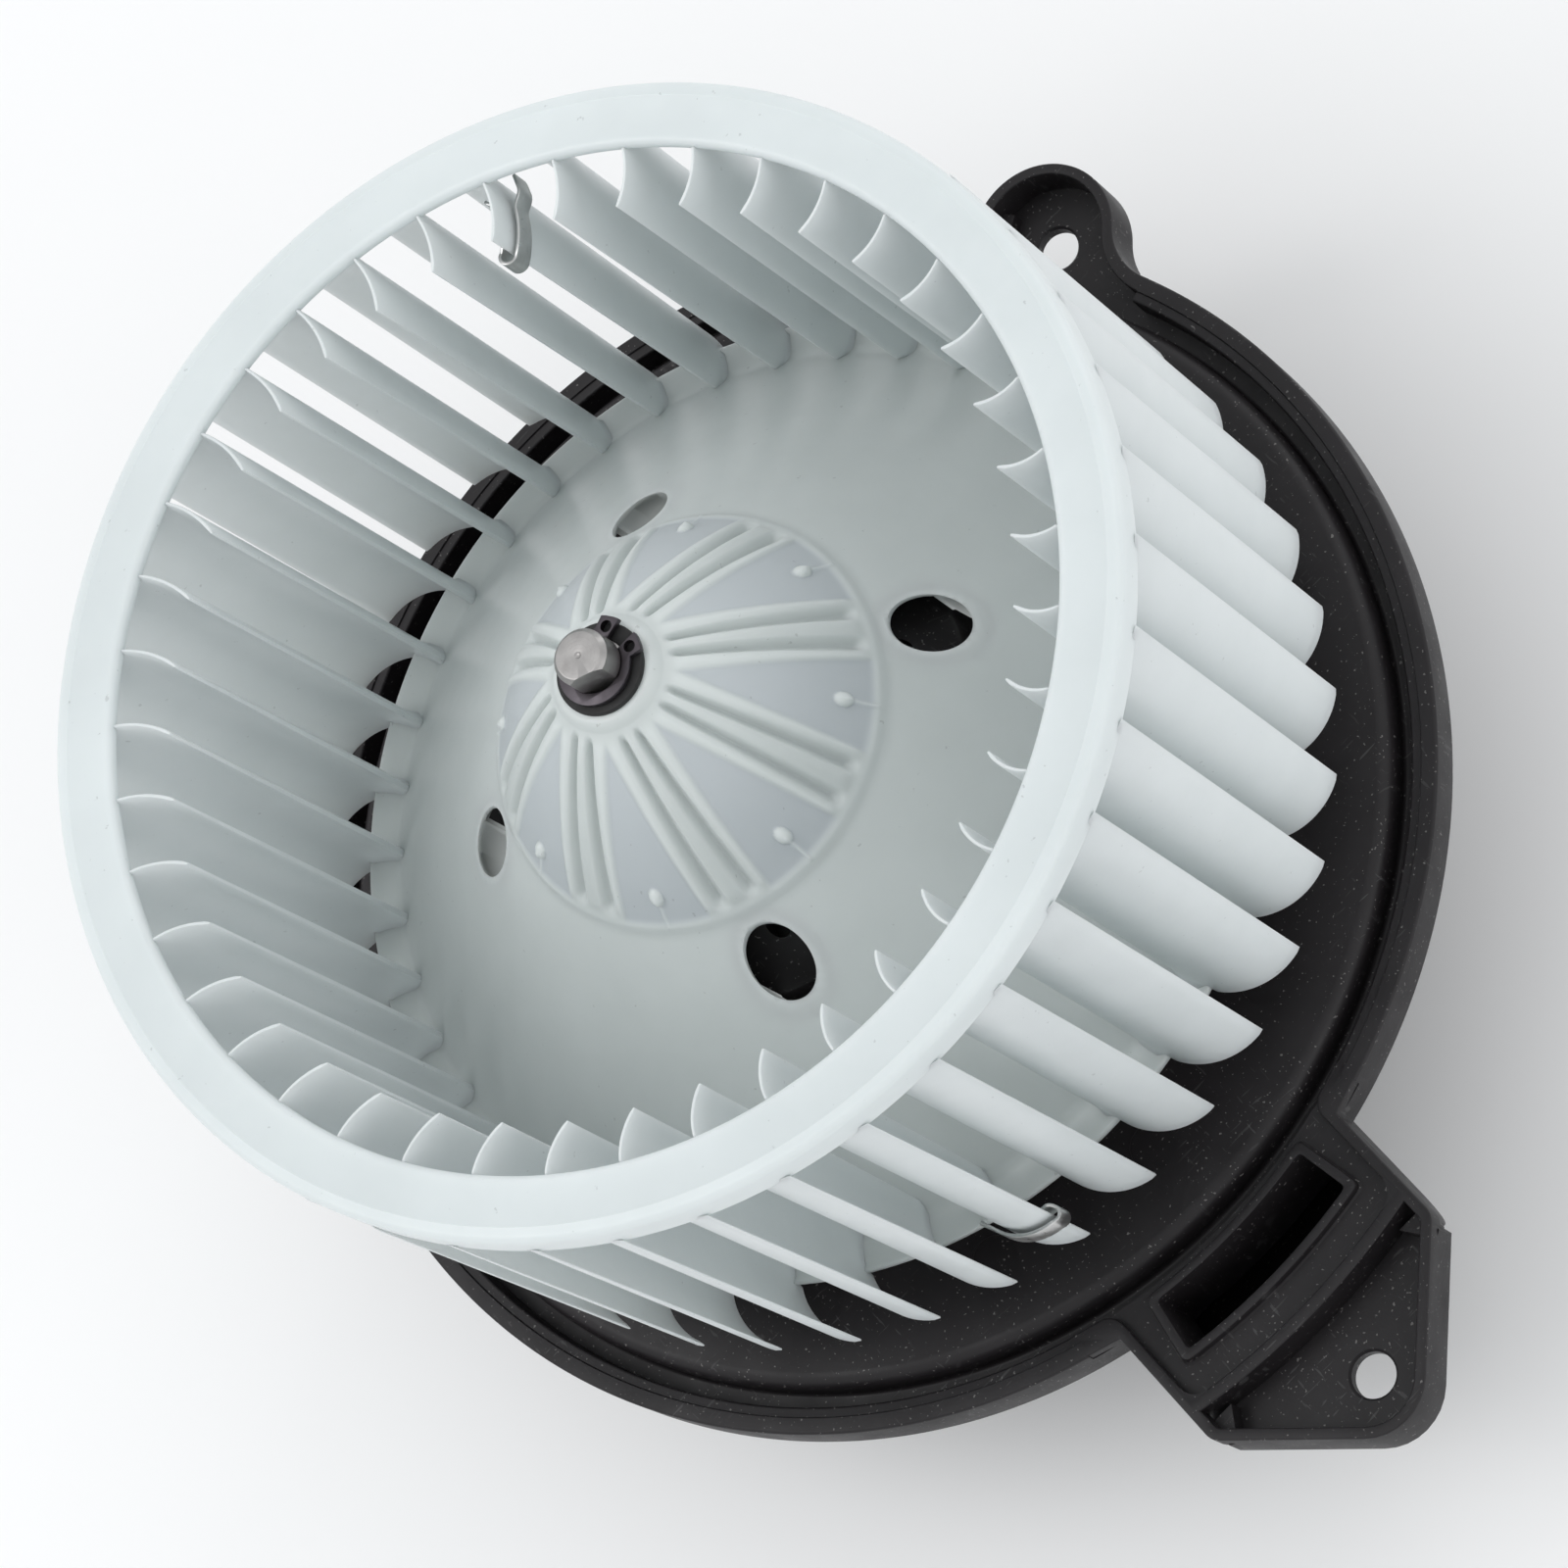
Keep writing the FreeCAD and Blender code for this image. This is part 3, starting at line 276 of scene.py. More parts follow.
def moved(mesh, turn=0.0, shift=(0, 0, 0), tilt=None):
    """A copy of a mesh, tilted, turned about the shaft axis and shifted (millimetres)."""
    copy = mesh.copy()
    matrix = Matrix.Translation(Vector(shift) * MM) @ Matrix.Rotation(radians(turn), 4, "Z")
    if tilt is not None:
        matrix = matrix @ tilt
    copy.transform(matrix)
    return copy


def merged(name, meshes):
    """Several meshes as one."""
    work = bmesh.new()
    for mesh in meshes:
        work.from_mesh(mesh)
    result = bpy.data.meshes.new(name)
    work.to_mesh(result)
    work.free()
    return result


# ---- Materials

class Paint:
    """A Principled material with shorthand for the nodes that feed it."""

    def __init__(self, name, **sockets):
        self.material = bpy.data.materials.new(name)
        self.material.use_nodes = True
        self.nodes = self.material.node_tree.nodes
        self.links = self.material.node_tree.links
        self.shader = self.nodes["Principled BSDF"]
        self.where = self.add("ShaderNodeTexCoord").outputs["Object"]
        for socket, value in sockets.items():
            self.shader.inputs[socket.replace("_", " ")].default_value = value

    def add(self, kind, **settings):
        made = self.nodes.new(kind)
        for key, value in settings.items():
            setattr(made, key, value)
        return made

    def join(self, source, target):
        self.links.new(source, target)

    def noise(self, scale, detail=4.0, roughness=0.6, stretch=None):
        """Fractal noise; scale is in cycles per metre."""
        made = self.add("ShaderNodeTexNoise")
        made.inputs["Scale"].default_value = scale
        made.inputs["Detail"].default_value = detail
        made.inputs["Roughness"].default_value = roughness
        where = self.where
        if stretch is not None:
            mapping = self.add("ShaderNodeMapping")
            mapping.inputs["Scale"].default_value = stretch
            self.join(self.where, mapping.inputs["Vector"])
            where = mapping.outputs["Vector"]
        self.join(where, made.inputs["Vector"])
        return made.outputs["Fac"]

    def ramp(self, factor, *stops):
        """A colour ramp; each stop is (position, colour or grey)."""
        made = self.add("ShaderNodeValToRGB")
        band = made.color_ramp
        while len(band.elements) < len(stops):
            band.elements.new(0.5)
        for element, (position, colour) in zip(band.elements, stops):
            element.position = position
            grey = isinstance(colour, (int, float))
            element.color = (colour, colour, colour, 1) if grey else (*colour, 1)
        self.join(factor, made.inputs["Fac"])
        return made.outputs["Color"]

    def mix(self, factor, a, b):
        made = self.add("ShaderNodeMix", data_type="RGBA")
        for socket, value in (("Factor", factor), ("A", a), ("B", b)):
            target = [s for s in made.inputs if s.name == socket and s.enabled][0]
            if isinstance(value, bpy.types.NodeSocket):
                self.join(value, target)
            elif isinstance(value, (int, float)):
                target.default_value = value
            else:
                target.default_value = (*value, 1)
        return [s for s in made.outputs if s.enabled][0]

    def math(self, operation, a, b=0.0):
        made = self.add("ShaderNodeMath", operation=operation)
        for target, value in zip(made.inputs, (a, b)):
            if isinstance(value, bpy.types.NodeSocket):
                self.join(value, target)
            else:
                target.default_value = value
        return made.outputs[0]

    def bump(self, height, strength, distance):
        """Adds a height to the normal; distance in metres."""
        made = self.add("ShaderNodeBump")
        made.inputs["Strength"].default_value = strength
        made.inputs["Distance"].default_value = distance
        self.join(height, made.inputs["Height"])
        current = self.shader.inputs["Normal"]
        if current.is_linked:
            self.join(current.links[0].from_socket, made.inputs["Normal"])
        self.join(made.outputs["Normal"], current)

    def colour(self, source):
        self.join(source, self.shader.inputs["Base Color"])

    def roughness(self, source):
        self.join(source, self.shader.inputs["Roughness"])


def translucent_plastic(name, light, shade, thin=None):
    """Natural polypropylene: pale, waxy, lit from within where it is thin; it can also take pale margins
    with a painted highlight round holes, and a painted glow, from layers on the mesh.
    """
    paint = Paint(name, Roughness=0.36, Subsurface_Weight=0.55, Subsurface_Scale=0.003, IOR=1.49)
    paint.shader.inputs["Subsurface Radius"].default_value = (1.0, 1.0, 0.95)
    cloud = paint.noise(38, 4, 0.55)
    colour = paint.ramp(cloud, (0.3, shade), (0.62, light))
    if thin is not None:
        layer = paint.add("ShaderNodeAttribute", attribute_name="thin").outputs["Fac"]
        # The margin layer lightens the colour: pale margins by the ribs and bumps, and a painted highlight
        # round the holes.
        edge = paint.add("ShaderNodeAttribute", attribute_name="pale_margin_and_painted_highlight").outputs["Fac"]
        colour = paint.mix(layer, colour, thin)
        colour = paint.mix(edge, colour, tuple(min(1.0, v * 1.10) for v in light))
        # Painted light: an emission where the mesh's glow layer is set makes those parts (the hub's hole
        # lips) glow as if lit.
        painted_glow = paint.add("ShaderNodeAttribute", attribute_name="painted_glow").outputs["Fac"]
        paint.shader.inputs["Emission Color"].default_value = (*light, 1)
        paint.join(paint.math("MULTIPLY", painted_glow, 0.4), paint.shader.inputs["Emission Strength"])
    specks = paint.noise(900, 2, 0.5)
    dirt = paint.ramp(specks, (0.235, 0.6), (0.265, 1.0))
    tinted = paint.add("ShaderNodeMix", data_type="RGBA", blend_type="MULTIPLY")
    inputs = [s for s in tinted.inputs if s.enabled]
    inputs[0].default_value = 0.5
    paint.join(colour, inputs[1])
    paint.join(dirt, inputs[2])
    paint.colour([s for s in tinted.outputs if s.enabled][0])
    paint.roughness(paint.ramp(paint.noise(160, 5, 0.6), (0.3, 0.30), (0.7, 0.44)))
    paint.bump(paint.noise(260, 3, 0.5), 0.12, 0.0002)
    paint.bump(paint.noise(1500, 2, 0.5), 0.08, 0.00005)
    return paint.material


def black_plastic(name, base):
    """Matte black moulding with a fine grain, short rub marks and pale dust."""
    paint = Paint(name, Roughness=0.46, IOR=1.45, Specular_IOR_Level=0.36)
    cloud = paint.noise(30, 5, 0.6)
    paler = tuple(v * 1.7 for v in base)
    colour = paint.ramp(cloud, (0.35, base), (0.75, paler))
    patch = paint.ramp(paint.noise(55, 3, 0.5), (0.5, 0.0), (0.62, 1.0))
    for stretch in ((1.0, 9.0, 1.0), (8.0, 1.5, 1.0)):
        rub = paint.ramp(paint.noise(230, 2, 0.35, stretch=stretch), (0.68, 0.0), (0.71, 1.0))
        marks = paint.math("MULTIPLY", rub, patch)
        colour = paint.mix(paint.math("MULTIPLY", marks, 0.15), colour, (0.22, 0.22, 0.22))
    dust = paint.ramp(paint.noise(1900, 1, 0.5), (0.705, 0.0), (0.73, 1.0))
    colour = paint.mix(paint.math("MULTIPLY", dust, 0.4), colour, (0.30, 0.29, 0.28))
    paint.colour(colour)
    paint.roughness(paint.ramp(paint.noise(90, 5, 0.65), (0.3, 0.38), (0.7, 0.56)))
    paint.bump(paint.noise(1900, 3, 0.6), 0.22, 0.00008)
    paint.bump(paint.noise(70, 2, 0.5), 0.10, 0.0006)
    return paint.material


def metal(name, base, rough=(0.25, 0.45), turned_rings=False, wear=(0.10, 0.09, 0.08), wear_share=0.25):
    """Bare or plated metal with uneven polish; turned_rings adds lathe marks about the shaft axis."""
    paint = Paint(name, Metallic=1.0)
    cloud = paint.noise(420, 5, 0.6)
    stain = paint.ramp(paint.noise(170, 5, 0.65), (0.52, 0.0), (0.78, wear_share))
    colour = paint.ramp(cloud, (0.3, tuple(v * 0.82 for v in base)), (0.7, base))
    paint.colour(paint.mix(stain, colour, wear))
    paint.roughness(paint.ramp(paint.noise(600, 4, 0.6), (0.3, rough[0]), (0.7, rough[1])))
    if turned_rings:
        wave = paint.add("ShaderNodeTexWave", wave_type="RINGS", rings_direction="Z", wave_profile="SAW")
        wave.inputs["Scale"].default_value = 620.0
        wave.inputs["Distortion"].default_value = 0.6
        wave.inputs["Detail"].default_value = 1.0
        paint.join(paint.where, wave.inputs["Vector"])
        paint.bump(wave.outputs["Fac"], 0.5, 0.0001)
    paint.bump(paint.noise(2500, 2, 0.5), 0.15, 0.00004)
    return paint.material


def dull(name, base, rough=(0.55, 0.8), scale=300, bump=0.2, metallic=0.0, spread=1.5):
    """A plain dull solid such as rubber, ferrite, resin or fibre."""
    paint = Paint(name, Metallic=metallic)
    cloud = paint.noise(scale, 5, 0.6)
    paint.colour(paint.ramp(cloud, (0.3, base), (0.75, tuple(min(1.0, v * spread) for v in base))))
    paint.roughness(paint.ramp(paint.noise(scale * 2, 4, 0.6), (0.3, rough[0]), (0.7, rough[1])))
    paint.bump(paint.noise(scale * 6, 3, 0.6), bump, 0.0001)
    return paint.material


WHEEL = translucent_plastic("wheel_plastic", (0.68, 0.725, 0.73), (0.635, 0.68, 0.685))
HUB = translucent_plastic("hub_plastic", (0.65, 0.69, 0.68), (0.60, 0.64, 0.63), thin=(0.56, 0.60, 0.62))
BLACK = black_plastic("housing_plastic", (0.0108, 0.0094, 0.0104))
COVER = black_plastic("cover_plastic", (0.0112, 0.0100, 0.0108))
STEEL = metal("turned_steel", (0.42, 0.408, 0.40), (0.32, 0.5), turned_rings=True, wear_share=0.45)
ZINC = metal("zinc_plate", (0.60, 0.60, 0.57), (0.32, 0.5))
SPRING = metal("spring_steel", (0.68, 0.68, 0.67), (0.26, 0.42))
DARK_STEEL = metal("blackened_steel", (0.10, 0.09, 0.10), (0.34, 0.5), wear=(0.2, 0.17, 0.16))
COPPER = metal("copper", (0.70, 0.33, 0.18), (0.25, 0.42), wear=(0.2, 0.08, 0.04))
ENAMEL = metal("enamelled_copper", (0.42, 0.13, 0.05), (0.18, 0.32), wear=(0.2, 0.06, 0.03))
BRONZE = metal("sintered_bronze", (0.42, 0.28, 0.14), (0.5, 0.7))
BRASS = metal("brass_strip", (0.72, 0.56, 0.25), (0.25, 0.45), wear=(0.3, 0.2, 0.08))
TIN = metal("tinned_brass", (0.70, 0.68, 0.60), (0.25, 0.42))
RUBBER = dull("rubber", (0.012, 0.012, 0.012), (0.6, 0.8))
FERRITE = dull("ferrite", (0.045, 0.045, 0.048), (0.5, 0.7), scale=600)
LAMINATION = dull("laminations", (0.10, 0.10, 0.11), (0.35, 0.55), scale=500, metallic=0.8)
PHENOLIC = dull("phenolic", (0.16, 0.075, 0.03), (0.45, 0.65), scale=400)
FIBRE = dull("oiled_fibre", (0.18, 0.09, 0.045), (0.5, 0.7), scale=700)
GRAPHITE = dull("graphite", (0.03, 0.03, 0.033), (0.4, 0.55), scale=900, metallic=0.3)
RESIN = dull("dipped_resin", (0.35, 0.17, 0.04), (0.2, 0.35), scale=150)


# ---- Wheel

WHEEL_RADIUS = 80.0
WHEEL_BASE = 13.0
BOSS_TOP = 76.6
BOSS_BOTTOM = 57.6
HUB_BORE = 4.06
CONE_TOP_RADIUS = 30.3
CONE_TOP_HEIGHT = 51.0
CONE_FOOT_RADIUS = 64.6
CONE_SLOPE = 0.966
RING_BOTTOM, RING_TOP = node_span("wheel_ring")[0][2], node_span("wheel_ring")[1][2]
RING_BORE = 70.9
RING_WEB = 2.4
RING_SKIRT = 77.8
DISC_RADIUS = 71.6
DISC_TOP = 16.1
DISC_UNDERSIDE = 14.5
RIB_ANGLES = [-22.8 + 45.0 * k for k in range(8)]
BUMP_ANGLES = [-0.3 + 45.0 * k for k in range(8)]
HOLE_ANGLES = [-22.8 + 90.0 * k for k in range(4)]
HOLE_CIRCLE = 35.75
HOLE_RADIUS = 4.5


def smooth(x, low, high):
    """Rises from 0 at low to 1 at high, levelling off at both ends."""
    t = np.clip((x - low) / (high - low), 0, 1)
    return t * t * (3 - 2 * t)


def cone_height(radius):
    """Height of the hub's plain cone at a distance from the shaft axis."""
    return CONE_TOP_HEIGHT - CONE_SLOPE * (radius - CONE_TOP_RADIUS)


def hub_outline():
    """The hub's upper face as (radius, height), from the boss outwards."""
    boss = [(HUB_BORE, BOSS_TOP), (7.0, BOSS_TOP), (7.35, BOSS_TOP - 0.15), (7.9, BOSS_TOP - 0.7)]
    start, end = Vector((8.3, 75.2)), Vector((CONE_TOP_RADIUS, CONE_TOP_HEIGHT))
    chord = end - start
    bulge = 1.5
    radius = chord.length ** 2 / (8 * bulge) + bulge / 2
    across = Vector((-chord.y, chord.x)).normalized()
    if across.y < 0:
        across = -across
    middle = (start + end) / 2 - across * (radius - bulge)
    first = atan2(start.y - middle.y, start.x - middle.x)
    last = atan2(end.y - middle.y, end.x - middle.x)
    count = 96
    dome = []
    for i in range(count + 1):
        angle = first + (last - first) * i / count
        dome.append((middle.x + radius * cos(angle), middle.y + radius * sin(angle)))
    steps = 44
    radii = [CONE_TOP_RADIUS + (CONE_FOOT_RADIUS - CONE_TOP_RADIUS) * i / steps for i in range(1, steps + 1)]
    cone = [(radius, cone_height(radius)) for radius in radii]
    foot = rounded([(*cone[-1], 0), (66.3, DISC_TOP, 3.0), (DISC_RADIUS - 0.3, DISC_TOP, 0)],
                   closed=False, pieces=8)[1:]
    return boss + dome + cone + foot + [(DISC_RADIUS, DISC_TOP - 0.3)]


def rib_relief(radius, angle):
    """How far the hub's face stands out (mm), where it is thin, and where it has a pale margin or, round a
    hole, a painted highlight.
    """
    relief = np.zeros_like(angle)
    thin = np.ones_like(angle) * (1 - smooth(radius, 28.7, 29.5))
    pale_margin_and_painted_highlight = np.zeros_like(angle)
    share = np.clip((radius - 9.0) / 19.0, 0, 1.1)
    offset = 1.15 + 1.25 * share
    half = 0.80 + 0.60 * share
    band = 1.9 - 0.9 * share
    window = smooth(radius, 8.8, 10.6) * (1 - smooth(radius, 27.8, 29.0))
    for centre in RIB_ANGLES:
        across = radius * np.sin(np.radians(angle - centre))
        near = np.cos(np.radians(angle - centre)) > 0
        side = np.abs(np.abs(across) - offset)
        groove = np.where(near & (side < half), 0.5 + 0.5 * np.cos(np.pi * side / half), 0.0)
        relief -= 1.25 * groove * window
        ridge = np.where(near, np.exp(-(across / (0.55 * offset)) ** 2), 0.0)
        relief += 0.25 * ridge * window
        border = offset + half
        flank = np.where(near, np.exp(-((np.abs(across) - border - 0.45 * band) / (0.45 * band)) ** 2), 0.0)
        relief += 0.22 * flank * window
        thin *= np.where(near, smooth(np.abs(across), border + band - 0.5, border + band + 0.4), 1.0)
        pale_margin_and_painted_highlight = np.maximum(pale_margin_and_painted_highlight, flank * window * 0.6)
    edge = np.exp(-((radius - 29.4) / 0.40) ** 2)
    relief += 0.12 * edge
    pale_margin_and_painted_highlight = np.maximum(pale_margin_and_painted_highlight, edge * 0.35)
    relief -= 0.18 * thin
    for centre in BUMP_ANGLES:
        across = radius * np.sin(np.radians(angle - centre))
        near = np.cos(np.radians(angle - centre)) > 0
        span = np.hypot(across, (radius - 26.4) * 1.25)
        drop = np.where(near, np.sqrt(np.clip(1 - (span / 1.05) ** 2, 0, 1)), 0.0)
        tail = np.where(near & (radius > 26.4) & (radius < 29.4), np.exp(-(across / 0.26) ** 2), 0.0)
        relief += 0.75 * drop + 0.22 * tail
        pale_margin_and_painted_highlight = np.maximum(pale_margin_and_painted_highlight, np.maximum(drop, 0.6 * tail))
        thin = np.where(drop > 0.05, 0.0, thin)
    # Painted highlight: a pale ring round each hole stands in for the light its edge catches.
    for centre in HOLE_ANGLES:
        x = radius * np.cos(np.radians(angle - centre)) - HOLE_CIRCLE
        y = radius * np.sin(np.radians(angle - centre))
        pale_margin_and_painted_highlight = np.maximum(pale_margin_and_painted_highlight, 1 - smooth(np.hypot(x, y), 4.7, 5.6))
    return relief, np.clip(thin, 0, 1), np.clip(pale_margin_and_painted_highlight, 0, 1)


def hole_relief():
    """What is hollowed out from below round a hole, so that the hole has a thin edge."""
    skin = 0.8
    outline = circle(6.4, 48, HOLE_CIRCLE)
    shell = Shell()
    shell.loft([lift(outline, 20.0),
                [(x, y, cone_height(hypot(x, y)) - skin) for x, y in outline]], capped=True)
    return shell


def hole_lip():
    """A short lip that hangs from the outer edge of a hole in the hub."""
    inner, outer = HOLE_RADIUS + 0.04, HOLE_RADIUS + 1.2
    shell = Shell()
    loops = []
    for angle in np.linspace(-78, 78, 31):
        section = []
        for radius, is_top in ((inner, False), (outer, False), (outer, True), (inner, True)):
            x, y = polar(radius, angle, HOLE_CIRCLE)
            away = hypot(x, y)
            top = cone_height(away) - 0.4
            bottom = 33.0 if away > 37.6 else 37.2 + max(0.0, 36.0 - away)
            section.append((x, y, top if is_top else bottom))
        loops.append(section)
    shell.loft(loops, capped=True)
    return shell


def hub_underside():
    """The hub's lower face as (radius, height), from the disc's edge to the bore."""
    wall = 1.2
    disc = [(DISC_RADIUS, 14.8), (DISC_RADIUS - 0.3, DISC_UNDERSIDE), (65.2, DISC_UNDERSIDE)]
    cone = [(63.6 - 1.2 * k, DISC_UNDERSIDE + CONE_SLOPE * (1.2 * k) + wall) for k in range(29)]
    dome = [(28.0, 50.6), (24.6, 55.0), (20.8, 59.8), (17.0, 64.2), (13.2, 68.0), (9.4, 71.6), (7.4, 72.8)]
    boss = [(7.4, BOSS_BOTTOM + 0.6), (6.8, BOSS_BOTTOM), (HUB_BORE, BOSS_BOTTOM)]
    return disc + cone + dome + boss


def hub_rows(segments):
    """Rings of points for the hub's upper and lower face, and the paint layers of the upper one."""
    profile = np.array(hub_outline())
    slope = np.gradient(profile, axis=0)
    normal = np.stack([-slope[:, 1], slope[:, 0]], axis=1)
    normal /= np.linalg.norm(normal, axis=1, keepdims=True)
    normal *= np.where(normal[:, 1:2] < 0, -1, 1)
    angles = np.arange(segments) * 360.0 / segments
    c, s = np.cos(np.radians(angles)), np.sin(np.radians(angles))
    rows = []
    layers = {"thin": [], "pale_margin_and_painted_highlight": []}
    for (radius, height), (nr, nz) in zip(profile, normal):
        relief, thin, pale_margin_and_painted_highlight = rib_relief(np.full(segments, radius), angles)
        if radius < 8.2:
            relief = relief * 0
        r = radius + nr * relief
        rows.append(np.stack([r * c, r * s, height + nz * relief], axis=1))
        layers["thin"].append(thin)
        layers["pale_margin_and_painted_highlight"].append(pale_margin_and_painted_highlight)
    for radius, height in hub_underside():
        rows.append(np.stack([radius * c, radius * s, np.full(segments, height)], axis=1))
        for values in layers.values():
            values.append(np.zeros(segments))
    return rows, layers


def at_holes(mesh):
    """A mesh repeated at each hole of the hub."""
    return merged("repeats", [moved(mesh, turn=a) for a in HOLE_ANGLES])


def make_hub():
    rows, layers = hub_rows(segments=1080)
    shell = Shell()
    shell.loft(rows, ring=True)
    mesh = shell.mesh("hub")
    for key, values in layers.items():
        values = np.concatenate(values).astype(np.float32)
        mesh.attributes.new(key, "FLOAT", "POINT").data.foreach_set("value", values)
    mesh.attributes.new("painted_glow", "FLOAT", "POINT")
    mesh = combine(mesh, [at_holes(hole_relief().mesh("relief"))], "DIFFERENCE")
    lip = hole_lip().mesh("lip")
    # Painted light: the hole lips get a glow layer, so they glow as bright as the lit plastic round them.
    painted_glow_layer = lip.attributes.new("painted_glow", "FLOAT", "POINT")
    painted_glow_layer.data.foreach_set("value", [1.0] * len(lip.vertices))
    mesh = combine(mesh, [at_holes(lip)])
    hole = rod(HOLE_RADIUS, 10, 60, HOLE_CIRCLE, 0, 96).mesh("hole")
    mesh = combine(mesh, [at_holes(hole)], "DIFFERENCE")
    place("wheel_hub_moulding", mesh, HUB, "rotor", "wheel_hub", sharp=50)


CAMBER = 10.6
CAMBER_CENTRE = (69.0, 10.6)
BLADE_COUNT = 41
BLADE_PHASE = 6.2 - degrees(atan2(CAMBER_CENTRE[1] + CAMBER * sin(radians(-3)),
                                  CAMBER_CENTRE[0] + CAMBER * cos(radians(-3))))


def blade_section(foot_angle, grow=0.0, stout=1.0, along=26):
    """One blade's outline at a level: along its hollow face, round the tip, back along its full face."""
    tip_angle = -2.6
    angles = [foot_angle + (tip_angle - foot_angle) * i / along for i in range(along + 1)]
    outer, inner = [], []
    for i, angle in enumerate(angles):
        share = i / along
        half = (1.30 - 0.78 * share ** 0.8) / 2 * stout + grow
        if i == 0:
            half *= 0.55
        elif i == along:
            half *= 0.45
        outer.append(polar(CAMBER + half, angle, *CAMBER_CENTRE))
        inner.append(polar(CAMBER - half, angle, *CAMBER_CENTRE))
    return outer, inner


def foot_height(radius):
    """Where a blade begins: below the disc's edge outside it, in the disc elsewhere."""
    return WHEEL_BASE if radius > DISC_RADIUS - 0.4 else DISC_TOP - 0.9


def head_height(radius):
    """Where a blade ends: free inside the ring's bore, in the ring's web, or in its skirt."""
    if radius < RING_BORE + 0.2:
        return 83.8 + (radius - 63.4) * 0.36
    if radius < RING_SKIRT:
        return RING_TOP - RING_WEB + 0.8
    return RING_BOTTOM + 1.2


def blade_shell():
    """One blade, standing on the disc with a fillet and ending in the ring."""
    def at_level(level):
        return lambda radius: level
    stations = [(foot_height, WHEEL_BASE, 0.0, -0.1), (foot_height, WHEEL_BASE, 0.25, 0.0)]
    for rise, grow in ((0.05, 0.55), (0.4, 0.2), (1.1, 0.0)):
        stations.append((at_level(DISC_TOP + rise), DISC_TOP + rise, 0.0, grow))
    stations += [(at_level(level), level, 0.0, 0.0) for level in range(24, 75, 10)]
    stations += [(head_height, RING_TOP, -0.3, 0.0), (head_height, RING_TOP, 0.0, -0.1)]
    shell = Shell()
    rows = []
    for height, level, rise, grow in stations:
        share = (level - DISC_TOP) / (84.3 - DISC_TOP)
        foot_angle = -113.3 - 8.6 * min(max(share, 0), 1)
        stout = 1.12 - 0.60 * share
        outer, inner = blade_section(foot_angle, grow, stout)
        plain_outer, plain_inner = blade_section(foot_angle, 0.0, stout)
        points = []
        for x, y in outer + inner[::-1]:
            if grow > 0 and hypot(x, y) > DISC_RADIUS - 0.6:
                x, y = min(plain_outer + plain_inner, key=lambda p: hypot(p[0] - x, p[1] - y))
            points.append((x, y, height(hypot(x, y)) + rise))
        rows.append(shell.loop(points))
    for a, b in zip(rows, rows[1:]):
        shell.bridge(a, b)
    for row in (rows[0], rows[-1]):
        half = len(row) // 2
        for i in range(half - 1):
            shell.faces.append((row[i], row[i + 1], row[-2 - i], row[-1 - i]))
    return shell


def make_blades():
    one = blade_shell().mesh("blade")
    pitch = 360.0 / BLADE_COUNT
    meshes = [moved(one, turn=BLADE_PHASE + k * pitch) for k in range(BLADE_COUNT)]
    place("wheel_blade_cage", merged("blades", meshes), WHEEL, "rotor", "wheel_blades", sharp=50)


def make_ring():
    under = RING_TOP - RING_WEB
    edge = WHEEL_RADIUS - 0.05
    profile = rounded([
        (RING_BORE, under, 0.8), (RING_SKIRT, under, 0.6), (RING_SKIRT, RING_BOTTOM, 0.4),
        (edge, RING_BOTTOM, 0.4), (edge, RING_TOP - 0.2, 4.4),
        (77.9, RING_TOP, 0.0), (77.7, RING_TOP - 0.12, 0.0), (RING_BORE, RING_TOP - 0.25, 1.1)], pieces=10)
    place("wheel_end_ring", turned(profile, 480).mesh("ring"), WHEEL, "rotor", "wheel_ring", sharp=30)


# ---- Shaft and fittings

SHAFT_LOW, SHAFT_HIGH = node_span("motor_shaft")[0][2], node_span("motor_shaft")[1][2]
FLAT_ANGLE = -113.0
GROOVE_BOTTOM = 77.75
CLIP_GAUGE = 0.5
CLIP_GAP = 1.25
CLIP_WIDTH = 3.6


def make_shaft():
    profile = [(0.0001, SHAFT_LOW), (3.4, SHAFT_LOW), (4.0, SHAFT_LOW + 0.6), (4.0, 77.6), (3.72, 77.75),
               (3.72, 78.8), (3.98, 78.95), (3.98, SHAFT_HIGH - 0.75), (3.35, SHAFT_HIGH - 0.05),
               (3.2, SHAFT_HIGH), (0.5, SHAFT_HIGH), (0.3, SHAFT_HIGH - 0.12), (0.0001, SHAFT_HIGH - 0.14)]
    bar = turned(profile, 128).mesh("shaft")
    flat = moved(box((3.1, -8, 56), (12, 8, 96)).mesh("flat"), turn=FLAT_ANGLE)
    bar = combine(bar, [flat], "DIFFERENCE")
    place("shaft_bar", bar, STEEL, "rotor", "motor_shaft", sharp=25)


def circlip_outline():
    """A retaining ring seen from above: eccentric body and two eyed lugs beside the gap."""
    gap = 17.0
    inner = arc(0, 0, 3.86, gap, 360 - gap, 5)
    outer = []
    for angle in np.arange(360 - gap - 24, gap + 23, -5):
        width = 1.15 + 0.45 * (1 - cos(radians(angle))) / 2
        outer.append(polar(4.0 + width, angle))
    upper = [polar(7.05, a) for a in (gap + 19, gap + 13, gap + 3, gap - 4)]
    lower = [(x, -y) for x, y in upper]
    return inner + lower[::-1] + outer + upper


